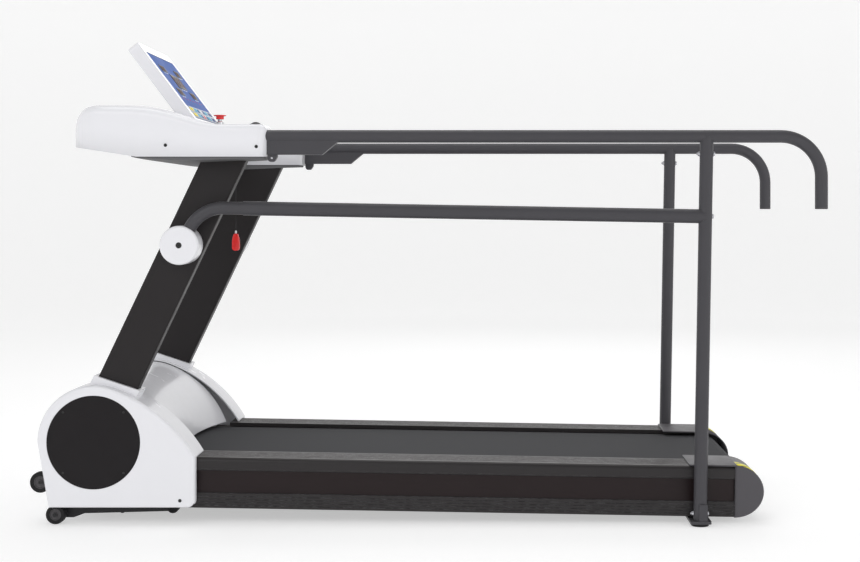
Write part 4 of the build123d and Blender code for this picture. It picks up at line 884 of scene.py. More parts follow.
# ---------------------------------------------------------------- carried-over frame
@dataclass
class CarriedOver:
    """Finishes for the frame's own nodes."""

    looks: dict[Look, tuple[str, ...]] = field(default_factory=lambda: {
        Look.RAIL_COAT: ("top_handrail_left", "top_handrail_right", "low_handrail_left", "low_handrail_right",
                         "rear_posts", "rear_crossbar"),
        Look.UPRIGHT: ("upright_left", "upright_right"),
        Look.SIDE_RAIL: ("side_rail_left", "side_rail_right"),
        Look.WHITE: ("hood_side_left", "hood_side_right", "hood_top", "display_housing", "hub_covers",
                     "console_shell"),
        Look.DISC: ("hood_discs",),
        Look.CAP: ("end_caps",),
        Look.DARK: ("handrail_plugs", "power_inlet", "rocker_switch", "safety_socket", "dome_button_left",
                    "dome_button_right"),
        Look.TRAY: ("console_tray", "estop_collar"),
        Look.BELT: ("running_belt",),
        Look.RUBBER: ("deck_cushions", "drive_belt", "rear_feet", "lift_wheel_left", "lift_wheel_right",
                      "transport_wheel_left", "transport_wheel_right"),
        Look.BOARD: ("running_board",),
        Look.FRAME: ("frame_rails", "frame_crossmembers", "crossbars", "lift_frame", "lift_pivot_brackets",
                     "transport_wheel_brackets", "side_rail_brackets"),
        Look.STEEL: ("front_roller", "rear_roller", "roller_axles", "roller_bearings", "ram_rod", "estop_stem"),
        Look.IRON: ("motor_housing", "motor_rotor", "ram_body", "motor_controller"),
        Look.CIRCUIT: ("display_board",),
        Look.FACE_BLUE: ("display_panel",),
        Look.RED: ("estop_head", "safety_key", "safety_clip"),
        Look.SCREW: ("cover_screws", "handrail_bolts"),
        Look.CORD: ("safety_lanyard",),
    })

    def dress(self) -> None:
        """Give every node its finish, and say so if one was left out."""
        dressed = set()
        for look, names in self.looks.items():
            for name in names:
                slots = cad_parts[name].data.materials
                slots.clear()
                slots.append(look.material())
                dressed.add(name)
        for name in sorted(set(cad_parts) - dressed):
            raise ValueError(f"node {name} has no finish")
        log.info("frame: %d nodes dressed in %d finishes", len(dressed), len(self.looks))


# ---------------------------------------------------------------- console
@dataclass
class Console:
    """Moulded console: the crowned shell, the bellied tray under it and the boss of the stop button."""

    arm_inner: float = 327 * MM
    centre_rear_x: float = -674 * MM
    flat_z: float = 1187 * MM
    high_z: float = 1247 * MM
    nose_lift: float = 31 * MM
    belly_x: float = -860 * MM
    brow_r: float = 80 * MM
    hump_rear_x: float = -900 * MM
    hump_foot_x: float = -668 * MM
    foot_blend: float = 34 * MM
    nose_corner: float = 106 * MM
    tip_corner: float = 23 * MM
    bay_corner: float = 30 * MM
    side_crown: float = 13 * MM
    crown_wide: float = 85 * MM
    rim: float = 20 * MM
    blank_high: float = 90 * MM
    wall: float = 3.5 * MM
    tray_front: float = 26 * MM
    tray_inset: float = 7 * MM
    tray_belly: float = 15 * MM
    stop_x: float = -698 * MM
    boss_r: float = 24 * MM
    boss_z: float = 1205 * MM

    def __post_init__(self) -> None:
        """Take the overall sizes from the frame."""
        low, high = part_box("console_shell")
        self.nose_x, self.rear_x, self.half, self.low_z = low.x, high.x, high.y, low.z

    def plan(self, inset: float, nose_x: float) -> tuple[list[Point], list[float]]:
        """The U seen from above.

        Args:
            inset: how far the outline is moved in.
            nose_x: where its front edge is.

        Returns:
            The corners, and each one's radius.
        """
        rear, half, inner = self.rear_x - inset, self.half - inset, self.arm_inner + inset
        bay = self.centre_rear_x - inset
        corners = [(nose_x, -half), (rear, -half), (rear, -inner), (bay, -inner),
                   (bay, inner), (rear, inner), (rear, half), (nose_x, half)]
        tip, nook = self.tip_corner, self.bay_corner
        return corners, [self.nose_corner - inset, tip, tip, nook, nook, tip, tip, self.nose_corner - inset]

    def top(self, x: float) -> float:
        """Height of the crown: the brow, the level hump, the long fall and the flat arms.

        Args:
            x: where along the console.

        Returns:
            The height.
        """
        if x < self.nose_x + self.brow_r:
            run = min(self.brow_r, self.nose_x + self.brow_r - x)
            return self.high_z - self.brow_r + math.sqrt(self.brow_r ** 2 - run ** 2)
        if x < self.hump_rear_x:
            return self.high_z
        run, fall = self.hump_foot_x - self.hump_rear_x, self.high_z - self.flat_z
        bow = (run ** 2 + fall ** 2) / (2 * fall)
        gone = x - self.hump_rear_x
        curve = self.high_z - bow + math.sqrt(max(0.0, bow ** 2 - gone ** 2))
        near = (curve - self.flat_z) / self.foot_blend
        if near > 1:
            return curve
        soft = max(0.0, (near + 1) / 2) ** 2 * self.foot_blend
        return self.flat_z + (soft if x < self.hump_foot_x + self.foot_blend * 2 else 0.0)

    def bottom(self, x: float) -> float:
        """Height of the shell's lower edge at x, which lifts towards the nose."""
        share = max(0.0, (self.belly_x - x) / (self.belly_x - self.nose_x))
        return self.low_z + self.nose_lift * share

    def crowned(self, p: Vector) -> Vector:
        """Move a point of the blank into the shell: its rim keeps its round, and what is below stretches.

        Args:
            p: the point in the blank.

        Returns:
            Its place in the shell.
        """
        top = self.top(p.x)
        hump = max(0.0, min(1.0, (top - self.flat_z) / (self.high_z - self.flat_z)))
        out = max(0.0, (abs(p.y) - self.half + self.crown_wide) / self.crown_wide)
        top -= hump * self.side_crown * out ** 2
        low, shoulder = self.bottom(p.x), self.blank_high - self.rim
        if p.z >= shoulder:
            return Vector((p.x, p.y, top - (self.blank_high - p.z)))
        return Vector((p.x, p.y, low + (top - self.rim - low) * p.z / shoulder))

    def shell(self) -> None:
        """Mould the shell: a U-shaped blank with a round rim, sliced across, crowned and left open below."""
        corners, radii = self.plan(0.0, self.nose_x)
        blank = Shape.slab(corners, self.blank_high, radii, steps=12)
        blank.soften(self.rim, 7, 50.0, lambda p: p.z > self.blank_high - 1 * MM)
        brow = [self.nose_x + self.brow_r * (1 - math.cos(math.radians(a))) for a in range(12, 91, 6)]
        slope = spread(self.hump_rear_x, self.hump_foot_x + 2 * self.foot_blend, 30)
        sides = [s * (self.half - self.crown_wide * k) for s in (1, -1) for k in (1.0, 0.8, 0.6, 0.4, 0.3)]
        blank.cut(0, brow + slope).cut(1, sides).cut(2, [self.blank_high - self.rim])
        blank.drop(lambda f: f.calc_center_median().z < 0.001 * MM and abs(f.normal.z) > 0.9)
        blank.bend(self.crowned)
        blank.piece("console_cover", Look.WHITE, stands_for=("console_shell",), slot="white_shell",
                    wall=self.wall, crisp=50)

    def tray(self) -> None:
        """Form the tray that closes the console from below, hanging in a shallow belly."""
        front = self.belly_x - self.tray_front
        corners, radii = self.plan(self.tray_inset, front)
        radii[0] = radii[-1] = self.nose_corner / 2
        blank = Shape.slab(corners, 1.0, radii, steps=8)
        blank.cut(0, spread(front + 6 * MM, self.rear_x - 12 * MM, 20))
        blank.cut(1, spread(-self.half + 20 * MM, self.half - 20 * MM, 13))

        def hang(p: Vector) -> Vector:
            """Lower the underside into a belly that is deepest under the display.

            Args:
                p: a point of the blank.

            Returns:
                Its place in the tray.
            """
            along = max(0.0, min(1.0, (p.x - front) / (self.centre_rear_x - front)))
            rear = max(0.0, min(1.0, (self.rear_x - p.x) / (self.rear_x - self.centre_rear_x)))
            across = max(0.0, 1 - (abs(p.y) / self.half) ** 6)
            deep = self.tray_belly * math.sin(math.pi / 2 * along)
            deep = deep * (0.35 + 0.65 * rear) * (0.45 + 0.55 * across)
            upper = self.bottom(p.x) + 3 * MM
            return Vector((p.x, p.y, upper - (1 - p.z) * (5 * MM + deep)))

        blank.bend(hang).soften(2.5 * MM, 3, 55.0, lambda p: p.z < self.bottom(p.x))
        blank.piece("console_belly", Look.TRAY, stands_for=("console_tray",), slot="tray_plastic")

    def boss(self) -> None:
        """Turn the raised seat of the stop button."""
        r, top = self.boss_r, self.boss_z - self.flat_z
        seat = Shape.lathe([(15 * MM, -8 * MM), (r + 3 * MM, -8 * MM), (r + 3 * MM, 0.2 * MM),
                            *arc(r + 2 * MM, 2.2 * MM, 2 * MM, -90, -180, 4),
                            *arc(r - 2.5 * MM, top - 2.5 * MM, 2.5 * MM, 0, 90, 5), (15 * MM, top),
                            (15 * MM, -8 * MM)])
        seat.place(Matrix.Translation((self.stop_x, 0, self.flat_z)))
        seat.piece("stop_seat", Look.WHITE, slot="white_shell")

    def build(self) -> None:
        """Make the console's pieces."""
        self.shell()
        self.tray()
        self.boss()
        log.info("console: shell, belly tray and stop seat")


@dataclass
class Display:
    """What is printed and set into the display's face: windows with unlit digits, marks, lamps and keys."""

    rise: float = 52.9
    foot_x: float = -711 * MM
    foot_z: float = 1187 * MM
    skin: float = -0.3 * MM
    proud: float = 0.9 * MM
    low: float = 44 * MM
    high: float = 305 * MM
    half: float = 186 * MM

    def __post_init__(self) -> None:
        """Work out the frame that stands on the face."""
        turn = math.radians(self.rise)
        out = (math.sin(turn), 0, math.cos(turn))
        up = (-math.cos(turn), 0, math.sin(turn))
        self.stand = facing((self.foot_x, 0, self.foot_z), out, up)

    def tile(self, x: float, y: float, wide: float, high: float, depth: float, radius: float,
             rim: float = 0.0, base: float = 0.0) -> Shape:
        """A rounded tile on the face.

        Args:
            x: its middle across the face.
            y: its middle up the face.
            wide: size across.
            high: size up.
            depth: how far it stands out.
            radius: the corners' radius.
            rim: width of the bevel round its front.
            base: height of its back above the face's skin.

        Returns:
            The tile in world coordinates.
        """
        made = Shape.box(wide, high, depth, radius)
        if rim:
            made.soften(rim, 2, 40.0, lambda p: p.z > depth * 0.9)
        return made.place(self.stand @ Matrix.Translation((x, y, self.skin + base)))

    def digit(self, x: float, y: float, tall: float) -> Shape:
        """One seven-bar figure, all bars unlit.

        Args:
            x: its middle across the face.
            y: its middle up the face.
            tall: its height.

        Returns:
            The bars in world coordinates.
        """
        thick, long = tall * 0.12, tall * 0.38
        bars = Shape()
        for dy in (-tall / 2, 0, tall / 2):
            bars.join(self.tile(x, y + dy, long, thick, 0.35 * MM, thick * 0.45, base=self.proud))
        for dx in (-tall * 0.26, tall * 0.26):
            for dy in (-tall / 4, tall / 4):
                bars.join(self.tile(x + dx, y + dy, thick, long, 0.35 * MM, thick * 0.45, base=self.proud))
        return bars

    def windows(self) -> None:
        """Set the five smoked windows, their unlit digits and the marks below them."""
        layout = [(s * 104 * MM, 247 * MM, 76 * MM, 26 * MM, 3) for s in (-1, 1)]
        layout += [(s * 98 * MM, 155 * MM, 76 * MM, 28 * MM, 3) for s in (-1, 1)]
        layout.append((0.0, 203 * MM, 128 * MM, 56 * MM, 4))
        glass, bars, marks = Shape(), Shape(), Shape()
        for x, y, wide, high, count in layout:
            glass.join(self.tile(x, y, wide, high, self.proud, 2.5 * MM, 0.4 * MM))
            tall = high * 0.62
            for i in range(count):
                bars.join(self.digit(x + (i - (count - 1) / 2) * tall * 0.92, y, tall))
            for i in range(3):
                marks.join(self.tile(x + (i - 1) * wide * 0.24, y - high / 2 - 5 * MM, wide * 0.16, 2.4 * MM,
                                     0.35 * MM, 0.8 * MM))
        glass.piece("display_windows", Look.WINDOW, slot="display_glass")
        bars.piece("display_digits", Look.DIGIT, slot="display_glass")
        marks.piece("display_marks", Look.INK, slot="display_glass")

    def lamps(self) -> None:
        """Set the row of small red lamps, each a low dome in a thin ring."""
        lamps = Shape()
        for x in spread(-140 * MM, 140 * MM, 9):
            bulb = Shape.lathe([(0, 1.3 * MM), *arc(0, 0.2 * MM, 1.1 * MM, 60, 0, 3), (1.9 * MM, 0.3 * MM),
                                (2.1 * MM, 0.0)], steps=16)
            lamps.join(bulb.place(self.stand @ Matrix.Translation((x, 126 * MM, self.skin))))
        lamps.piece("display_lamps", Look.RED, slot="stop_red")

    def keys(self) -> None:
        """Set the light key field along the foot of the face and its raised keys."""
        field_y = (self.low + 98 * MM) / 2
        ground = self.tile(0, field_y, 2 * self.half - 8 * MM, 46 * MM, 0.5 * MM, 4 * MM, 0.2 * MM)
        ground.piece("key_field", Look.FACE_GREY, slot="display_glass")
        rows = {
            Look.YELLOW: [(x, y) for x in (-158, -132) for y in (60, 82)],
            Look.CYAN: [(x, y) for x in (-92, -66, 66, 92) for y in (60, 82)],
            Look.NAVY: [(x, y) for x in (-40, 40, 132, 158) for y in (60, 82)],
            Look.RED: [(0, 60)],
            Look.INK: [(0, 82)],
        }
        for look, places in rows.items():
            keys = Shape()
            for x, y in places:
                keys.join(self.tile(x * MM, y * MM, 19 * MM, 13 * MM, 1.1 * MM, 3 * MM, 0.5 * MM, 0.5 * MM))
            keys.piece("keys_" + look.value.name.split("_")[-1], look, slot="display_glass")

    def frame_line(self) -> None:
        """Lay the thin dark bead that borders the face."""
        mid, tall = (self.low + self.high) / 2, self.high - self.low
        outer = self.tile(0, mid, 2 * self.half, tall, 0.5 * MM, 6 * MM)
        rim = 2.0 * MM
        lids = [f for f in outer.bm.faces if len(f.verts) > 8]
        bmesh.ops.inset_individual(outer.bm, faces=lids, thickness=rim, use_even_offset=True)
        bmesh.ops.delete(outer.bm, geom=[f for f in lids if f.is_valid], context="FACES_ONLY")
        outer.piece("face_border", Look.WINDOW, slot="display_glass")

    def build(self) -> None:
        """Make everything on the face."""
        self.windows()
        self.lamps()
        self.keys()
        self.frame_line()
        log.info("display: windows, digits, lamps and keys")


@dataclass
class StopButton:
    """Emergency stop: a mushroom cap that twists, on a ribbed collar."""

    ribs: int = 20
    neck_r: float = 12.6 * MM
    bore_r: float = 7.2 * MM
    flange: float = 3.6 * MM

    def __post_init__(self) -> None:
        """Take the cap's and the seat's places from the frame."""
        low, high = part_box("estop_head")
        self.x, self.low_z, self.high_z = (low.x + high.x) / 2, low.z, high.z
        self.cap_r = (high.x - low.x) / 2
        collar_low, collar_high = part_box("estop_collar")
        self.seat_r = (collar_high.x - collar_low.x) / 2
        self.seat_z, self.collar_z = 1205 * MM, collar_high.z

    def cap(self) -> None:
        """Turn the cap: a thin flange over a narrower grip, with finger notches under the rim."""
        high, r = self.high_z - self.low_z, self.cap_r
        body = Shape.lathe([
            (0, high), (r * 0.55, high - 0.15 * MM), *arc(r - 1.6 * MM, high - 1.8 * MM, 1.6 * MM, 80, -80, 8),
            (self.neck_r + 1.5 * MM, high - self.flange - 0.4 * MM), (self.neck_r, high - self.flange - 2 * MM),
            (self.neck_r, 1 * MM), (self.neck_r - 1 * MM, 0), (self.bore_r, 0), (self.bore_r, high - 4 * MM),
            (0, high - 4 * MM)], steps=64)
        body.place(Matrix.Translation((self.x, 0, self.low_z)))
        body.piece("stop_cap", Look.RED, "estop_head", ("estop_head",), "stop_red")
        arrows = Shape()
        for turn in range(3):
            bar = Shape.box(5 * MM, 1.2 * MM, 0.3 * MM, 0.5 * MM)
            way = Matrix.Rotation(math.tau * turn / 3, 4, "Z")
            way = way @ Matrix.Translation((0, r * 0.62, high - 0.45 * MM))
            arrows.join(bar.place(Matrix.Translation((self.x, 0, self.low_z)) @ way))
        arrows.piece("stop_cap_marks", Look.INK, "estop_head", slot="stop_red")

    def collar(self) -> None:
        """Turn the collar and raise the ribs round its neck."""
        tall = self.collar_z - self.seat_z
        ring = Shape.lathe([
            (self.bore_r, 0), (self.seat_r, 0), (self.seat_r, 1.5 * MM), (self.seat_r - 3 * MM, 5 * MM),
            (self.neck_r, 6 * MM), (self.neck_r, tall - 1.5 * MM), (self.neck_r - 1.2 * MM, tall),
            (self.bore_r, tall), (self.bore_r, 0)], steps=2 * self.ribs)
        tall_faces = [f for f in ring.bm.faces if abs(f.normal.z) < 0.1
                      and f.calc_center_median().xy.length > self.neck_r * 0.97
                      and f.calc_center_median().z > 7 * MM]
        tall_faces.sort(key=lambda f: math.atan2(f.calc_center_median().y, f.calc_center_median().x))
        bmesh.ops.inset_individual(ring.bm, faces=tall_faces[::2], thickness=0.25 * MM, depth=1.1 * MM)
        ring.face_out().place(Matrix.Translation((self.x, 0, self.seat_z)))
        ring.piece("stop_collar", Look.CHROME, stands_for=("estop_collar",), slot="tray_plastic")

    def build(self) -> None:
        """Make the cap and the collar."""
        self.cap()
        self.collar()
        log.info("stop button: cap and ribbed collar")


@dataclass
class DomeButtons:
    """Two low domes on the console's arms, each in a thin bezel."""

    bezel: float = 3.5 * MM
    flat_z: float = 1187 * MM

    def build(self) -> None:
        """Turn both domes and their bezels."""
        bezels = Shape()
        for hand in ("left", "right"):
            low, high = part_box(f"dome_button_{hand}")
            r, rise = 16 * MM, high.z - self.flat_z
            bow = (r * r + rise * rise) / (2 * rise)
            reach = math.degrees(math.asin(r / bow))
            crown = arc(0, rise - bow, bow, 90, 90 - reach + 6, 9)
            edge = crown[-1]
            dome = Shape.lathe([*crown, (r, edge[1] - 0.8 * MM), (r, -8 * MM), (0, -8 * MM)], steps=56)
            spot = Matrix.Translation(((low.x + high.x) / 2, (low.y + high.y) / 2, self.flat_z))
            body = f"dome_button_{hand}"
            dome.place(spot).piece(f"dome_key_{hand}", Look.DARK, body, (body,), "dark_plastic")
            ring_r = r + 0.4 * MM
            ring = Shape.lathe([(ring_r, -2 * MM), (ring_r, 0.9 * MM), (ring_r + 0.6 * MM, 1.3 * MM),
                                (ring_r + self.bezel - 0.8 * MM, 0.9 * MM), (ring_r + self.bezel, -0.2 * MM),
                                (ring_r + self.bezel, -2 * MM), (ring_r, -2 * MM)], steps=56)
            bezels.join(ring.place(spot))
        bezels.piece("dome_bezels", Look.TRAY, slot="tray_plastic")
        log.info("dome buttons: two domes and bezels")


# ---------------------------------------------------------------- safety key
@dataclass
class SafetyKey:
    """Magnetic key in its socket, with a thin cord that hangs straight under a clothing clip."""

    cord_x: float = -646 * MM
    cord_r: float = 1.25 * MM
    knot_gap: float = 15 * MM
    clip_wide: float = 24 * MM
    clip_thick: float = 5 * MM
    clip_apart: float = 4 * MM
    neck: float = 3 * MM
    ribs: int = 24

    def __post_init__(self) -> None:
        """Take the key's and the clip's places from the frame."""
        self.low, self.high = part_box("safety_key")
        cord_low, cord_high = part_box("safety_lanyard")
        self.bottom_z, self.top_z = cord_low.z, cord_high.z
        self.clip_low, self.clip_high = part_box("safety_clip")

    def puck(self) -> None:
        """Turn the key with a ribbed grip, and the nose that the cord is tied to."""
        r, thick = (self.high.z - self.low.z) / 2, 16 * MM
        nose = self.high.x - self.low.x
        puck = Shape.lathe([
            (0, 0), (r, 0), (r, thick - 4 * MM), (r - 3 * MM, thick), (6.5 * MM, thick),
            (5 * MM, thick + 1.5 * MM),
            (5 * MM, nose - 1.5 * MM), (3.5 * MM, nose), (0, nose)], steps=2 * self.ribs)
        sides = [f for f in puck.bm.faces if abs(f.normal.z) < 0.1
                 and f.calc_center_median().xy.length > r * 0.95]
        sides.sort(key=lambda f: math.atan2(f.calc_center_median().y, f.calc_center_median().x))
        bmesh.ops.inset_individual(puck.bm, faces=sides[::2], thickness=0.3 * MM, depth=-0.9 * MM)
        middle = (self.high.z + self.low.z) / 2
        puck.face_out().place(facing((self.low.x, 0, middle), (1, 0, 0)))
        puck.piece("key_puck", Look.RED, "safety_key", ("safety_key",), "stop_red")

    def jaw(self) -> Shape:
        """One jaw of the clip: a long plate with round ends, wider below its shoulder.

        Returns:
            The shape.
        """
        half, top, foot = self.clip_wide / 2, self.clip_high.z - self.neck, self.clip_low.z
        tall = top - foot
        outline = [(-half * 0.55, tall), (-half, tall * 0.62), (-half, 0), (half, 0), (half, tall * 0.62),
                   (half * 0.55, tall)]
        plate = Shape.slab(outline, self.clip_thick, [4 * MM, 8 * MM, 9 * MM, 9 * MM, 8 * MM, 4 * MM], steps=7)
        return plate.soften(1.2 * MM, 3, 50.0)

    def clip(self) -> list[bpy.types.Object]:
        """Make the clip's two jaws with its pin and grip pads, and the crimp at the cord's end.

        Returns:
            The pieces that hang on the cord.
        """
        body = Shape()
        for offset in (self.clip_apart / 2, -self.clip_apart / 2 - self.clip_thick):
            spot = facing((self.cord_x, offset, self.clip_low.z), (0, 1, 0))
            body.join(self.jaw().place(spot))
            for rib in range(4):
                face_y = offset + (self.clip_thick if offset > 0 else 0.0)
                bar = Shape.box(13 * MM, 1.6 * MM, 0.8 * MM, 0.7 * MM).soften(0.3 * MM, 2, 50.0)
                way = (0, 1, 0) if offset > 0 else (0, -1, 0)
                body.join(bar.place(facing((self.cord_x, face_y, self.clip_low.z + (9 + 4 * rib) * MM), way)))
        jaws = body.piece("clip_jaws", Look.RED, "safety_key", ("safety_clip",), "stop_red")
        pin = Shape.lathe([(0, -6.6 * MM), (2.2 * MM, -6.6 * MM), (2.6 * MM, -6 * MM), (2.6 * MM, 6 * MM),
                           (2.2 * MM, 6.6 * MM), (0, 6.6 * MM)], steps=24)
        pin.place(facing((self.cord_x, 0, self.clip_low.z + 34 * MM), (0, 1, 0)))
        rivet = pin.piece("clip_pin", Look.ZINC, "safety_key", slot="bolt_steel")
        crimp = Shape.lathe([(0, 0), (2.6 * MM, 0), (3.0 * MM, 1 * MM), (3.0 * MM, 8 * MM), (2.2 * MM, 10 * MM),
                             (0, 10 * MM)], steps=24)
        crimp.place(Matrix.Translation((self.cord_x, 0, self.clip_high.z - self.neck)))
        ferrule = crimp.piece("clip_crimp", Look.INK, "safety_key", slot="stop_red")
        return [jaws, rivet, ferrule]

    def cord(self, hung: list[bpy.types.Object]) -> None:
        """Hang the cord straight down from the key's nose.

        Args:
            hung: not used.
        """
        route = [(self.cord_x, 0.0, z) for z in
                 (self.top_z, self.top_z - self.knot_gap, self.bottom_z + self.knot_gap, self.bottom_z)]
        data = bpy.data.curves.new("key_cord", "CURVE")
        data.dimensions = "3D"
        line = data.splines.new("NURBS")
        line.points.add(len(route) - 1)
        for point, at in zip(line.points, route):
            point.co = (*at, 1.0)
        line.order_u = 3
        line.use_endpoint_u = True
        data.bevel_depth = self.cord_r
        data.bevel_resolution = 4
        data.use_fill_caps = True
        made = bpy.data.objects.new("key_cord", data)
        bpy.context.scene.collection.objects.link(made)
        data.materials.append(Look.CORD.material())
        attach(made, "safety_key")
        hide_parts("safety_lanyard")
        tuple(route[0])

    def build(self) -> None:
        """Make the key, the clip and the cord between them."""
        self.cord(self.clip())
        self.puck()
        log.info("safety key: puck, cord and clip")


# ---------------------------------------------------------------- deck
@dataclass
class EndCaps:
    """Round-backed caps on the ends of the side rails, with tongues and safety strips."""

    rear_u: float = 1601 * MM
    depth: float = 88 * MM
    mid_v: float = 75 * MM
    half_tall: float = 78 * MM
    outer: float = 407 * MM
    inner: float = 235 * MM
    wall: float = 3 * MM
    edge: float = 8 * MM
    tongue_long: float = 136 * MM
    tongue_v: float = 150 * MM
    tongue_thick: float = 4 * MM
    strip_y: tuple[float, float] = (338 * MM, 398 * MM)
    strip_angles: tuple[float, float] = (88.0, 44.0)

    def shell(self) -> Shape:
        """The cap's rounded back, open towards the belt and towards the rail.

        Returns:
            The shape.
        """
        outline = [(self.rear_u + self.depth * math.cos(a), self.mid_v + self.half_tall * math.sin(a))
                   for a in (math.radians(d) for d in spread(-90, 90, 29))]
        back = Shape.slab(outline, self.outer - self.inner)
        back.soften(self.edge, 5, 60.0, lambda p: p.z < 1 * MM and p.x > self.rear_u + 1 * MM)
        back.drop(lambda f: f.calc_center_median().z > self.outer - self.inner - 0.1 * MM
                  or abs(f.calc_center_median().x - self.rear_u) < 0.1 * MM)
        side = Matrix(((1, 0, 0, 0), (0, 0, -1, self.outer), (0, 1, 0, 0), (0, 0, 0, 1)))
        return back.place(DECK @ side)

    def tongue(self) -> Shape:
        """The plate that laps forward over the rail.

        Returns:
            The shape.
        """
        front, rear = self.rear_u - self.tongue_long, self.rear_u + 6 * MM
        low, high = self.inner, self.outer - 2 * MM
        plate = Shape.slab([(front, low), (rear, low), (rear, high), (front, high)], self.tongue_thick,
                           [5 * MM, 0, 0, 9 * MM], steps=5)
        plate.soften(1.6 * MM, 3, 50.0, lambda p: p.z > self.tongue_thick * 0.9 and p.x < rear - 1 * MM)
        return plate.place(DECK @ Matrix.Translation((0, 0, self.tongue_v)))

    def strip(self) -> Shape:
        """A film strip laid over the top of the round back.

        Returns:
            The shape.
        """
        lift = 0.5 * MM
        low, high = self.strip_y
        path = [(self.rear_u + (self.depth + lift) * math.cos(a),
                 self.mid_v + (self.half_tall + lift) * math.sin(a))
                for a in (math.radians(d) for d in spread(*self.strip_angles, 13))]
        film = Shape()
        verts = [film.bm.verts.new((u, low, v)) for u, v in path]
        edges = [film.bm.edges.new(pair) for pair in zip(verts, verts[1:])]
        made = bmesh.ops.extrude_edge_only(film.bm, edges=edges)
        moved = [g for g in made["geom"] if isinstance(g, bmesh.types.BMVert)]
        bmesh.ops.translate(film.bm, verts=moved, vec=(0, high - low, 0))
        for face in film.bm.faces:
            if face.normal.z < 0:
                face.normal_flip()
        return film.place(DECK)

    def build(self) -> None:
        """Make both caps with their tongues and strips."""
        back, plate, film = self.shell().face_out(), self.tongue(), self.strip()
        outward = back.bm.faces[:]
        centre = DECK @ Vector((self.rear_u, self.inner, self.mid_v))
        if sum((f.calc_center_median() - centre).dot(f.normal) for f in outward) < 0:
            bmesh.ops.reverse_faces(back.bm, faces=outward)
        for hand, mirrored in (("right", False), ("left", True)):
            parts = [Shape().join(s) for s in (back, plate, film)]
            if mirrored:
                for part in parts:
                    part.place(Matrix.Scale(-1, 4, (0, 1, 0)))
                    bmesh.ops.reverse_faces(part.bm, faces=part.bm.faces)
            stands = ("end_caps",) if hand == "right" else ()
            parts[0].piece(f"end_cap_{hand}", Look.CAP, stands_for=stands, slot="dark_plastic",
                           wall=self.wall, crisp=50)
            parts[1].piece(f"cap_tongue_{hand}", Look.CAP, slot="dark_plastic")
            parts[2].piece(f"safety_strip_{hand}", Look.HAZARD, slot="dark_plastic", wall=0.4 * MM)
        log.info("end caps: backs, tongues and strips")


@dataclass
class SidePanels:
    """Dark film panels in the recess of each side rail."""

    front_u: float = -8 * MM
    rear_u: float = 1599 * MM
    low_v: float = 46 * MM
    high_v: float = 111 * MM
    face_y: float = 400 * MM
    thick: float = 0.9 * MM

    def build(self) -> None:
        """Lay both panels."""
        for hand, sign in (("right", 1), ("left", -1)):
            outline = [(self.front_u, self.low_v), (self.rear_u, self.low_v), (self.rear_u, self.high_v),
                       (self.front_u, self.high_v)]
            panel = Shape.slab(outline, self.thick, [2 * MM], steps=4)
            panel.soften(0.3 * MM, 2, 50.0, lambda p: p.z > self.thick / 2)
            turned = Matrix(((1, 0, 0, 0), (0, 0, sign, sign * self.face_y), (0, 1, 0, 0), (0, 0, 0, 1)))
            panel.place(DECK @ turned).face_out()
            panel.piece(f"side_panel_{hand}", Look.SIDE_PANEL, slot="side_rail_metal")
        log.info("side rails: two film panels")


# ---------------------------------------------------------------- wheels
@dataclass
class Wheel:
    """A small wheel: a grooved tyre on a dished hub with a cross-slotted axle screw."""

    node: str
    name: str
    grooves: int
    edge: float

    def __post_init__(self) -> None:
        """Take the wheel's size and place from the frame."""
        self.low, self.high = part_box(self.node)
        self.r = (self.high.z - self.low.z) / 2
        self.wide = self.high.y - self.low.y
        self.out = 1 if self.high.y > 0 else -1

    def tyre(self) -> Shape:
        """The tyre's section turned about the axle: rounded shoulders, with grooves round the tread.

        Returns:
            The shape.
        """
        half, bead = self.wide / 2, self.r * 0.66
        tread = []
        span = self.wide - 2 * self.edge
        for i in range(self.grooves):
            at = -half + self.edge + span * (i + 0.5) / self.grooves
            tread += [(self.r, at - 1.1 * MM), (self.r - 1.2 * MM, at - 0.7 * MM),
                      (self.r - 1.2 * MM, at + 0.7 * MM), (self.r, at + 1.1 * MM)]
        section = [(bead, -half), *arc(self.r - self.edge, -half + self.edge, self.edge, -90, 0, 6), *tread,
                   *arc(self.r - self.edge, half - self.edge, self.edge, 0, 90, 6), (bead, half),
                   (bead - 1.5 * MM, half - 2 * MM), (bead - 1.5 * MM, -half + 2 * MM), (bead, -half)]
        return Shape.lathe(section, 56)

    def hub(self) -> Shape:
        """The dished hub between the tyre's beads.

        Returns:
            The shape.
        """
        half, rim = self.wide / 2, self.r * 0.66 - 1.4 * MM
        face = [(rim, half - 2.5 * MM), (rim - 2 * MM, half - 2.2 * MM), (rim - 3.5 * MM, half - 5 * MM),
                (8 * MM, half - 5 * MM), (7 * MM, half - 1.5 * MM), (0, half - 1.5 * MM)]
        back = [(r, -h) for r, h in reversed(face)]
        return Shape.lathe([*back, *face], 56)

    def build(self) -> None:
        """Make the tyre, the hub and the screw."""
        middle = (self.low + self.high) / 2
        spot = facing(middle, (0, self.out, 0))
        self.tyre().place(spot).piece(self.name + "_tyre", Look.RUBBER, self.node, (self.node,), "wheel_rubber")
        self.hub().place(spot).piece(self.name + "_hub", Look.DARK, self.node, slot="wheel_rubber")
        head = cross_screw(5.5 * MM, 2.2 * MM)
        head.place(facing(middle + Vector((0, self.out * (self.wide / 2 - 1.6 * MM), 0)), (0, self.out, 0)))
        head.piece(self.name + "_screw", Look.SCREW, self.node, slot="screw_black")


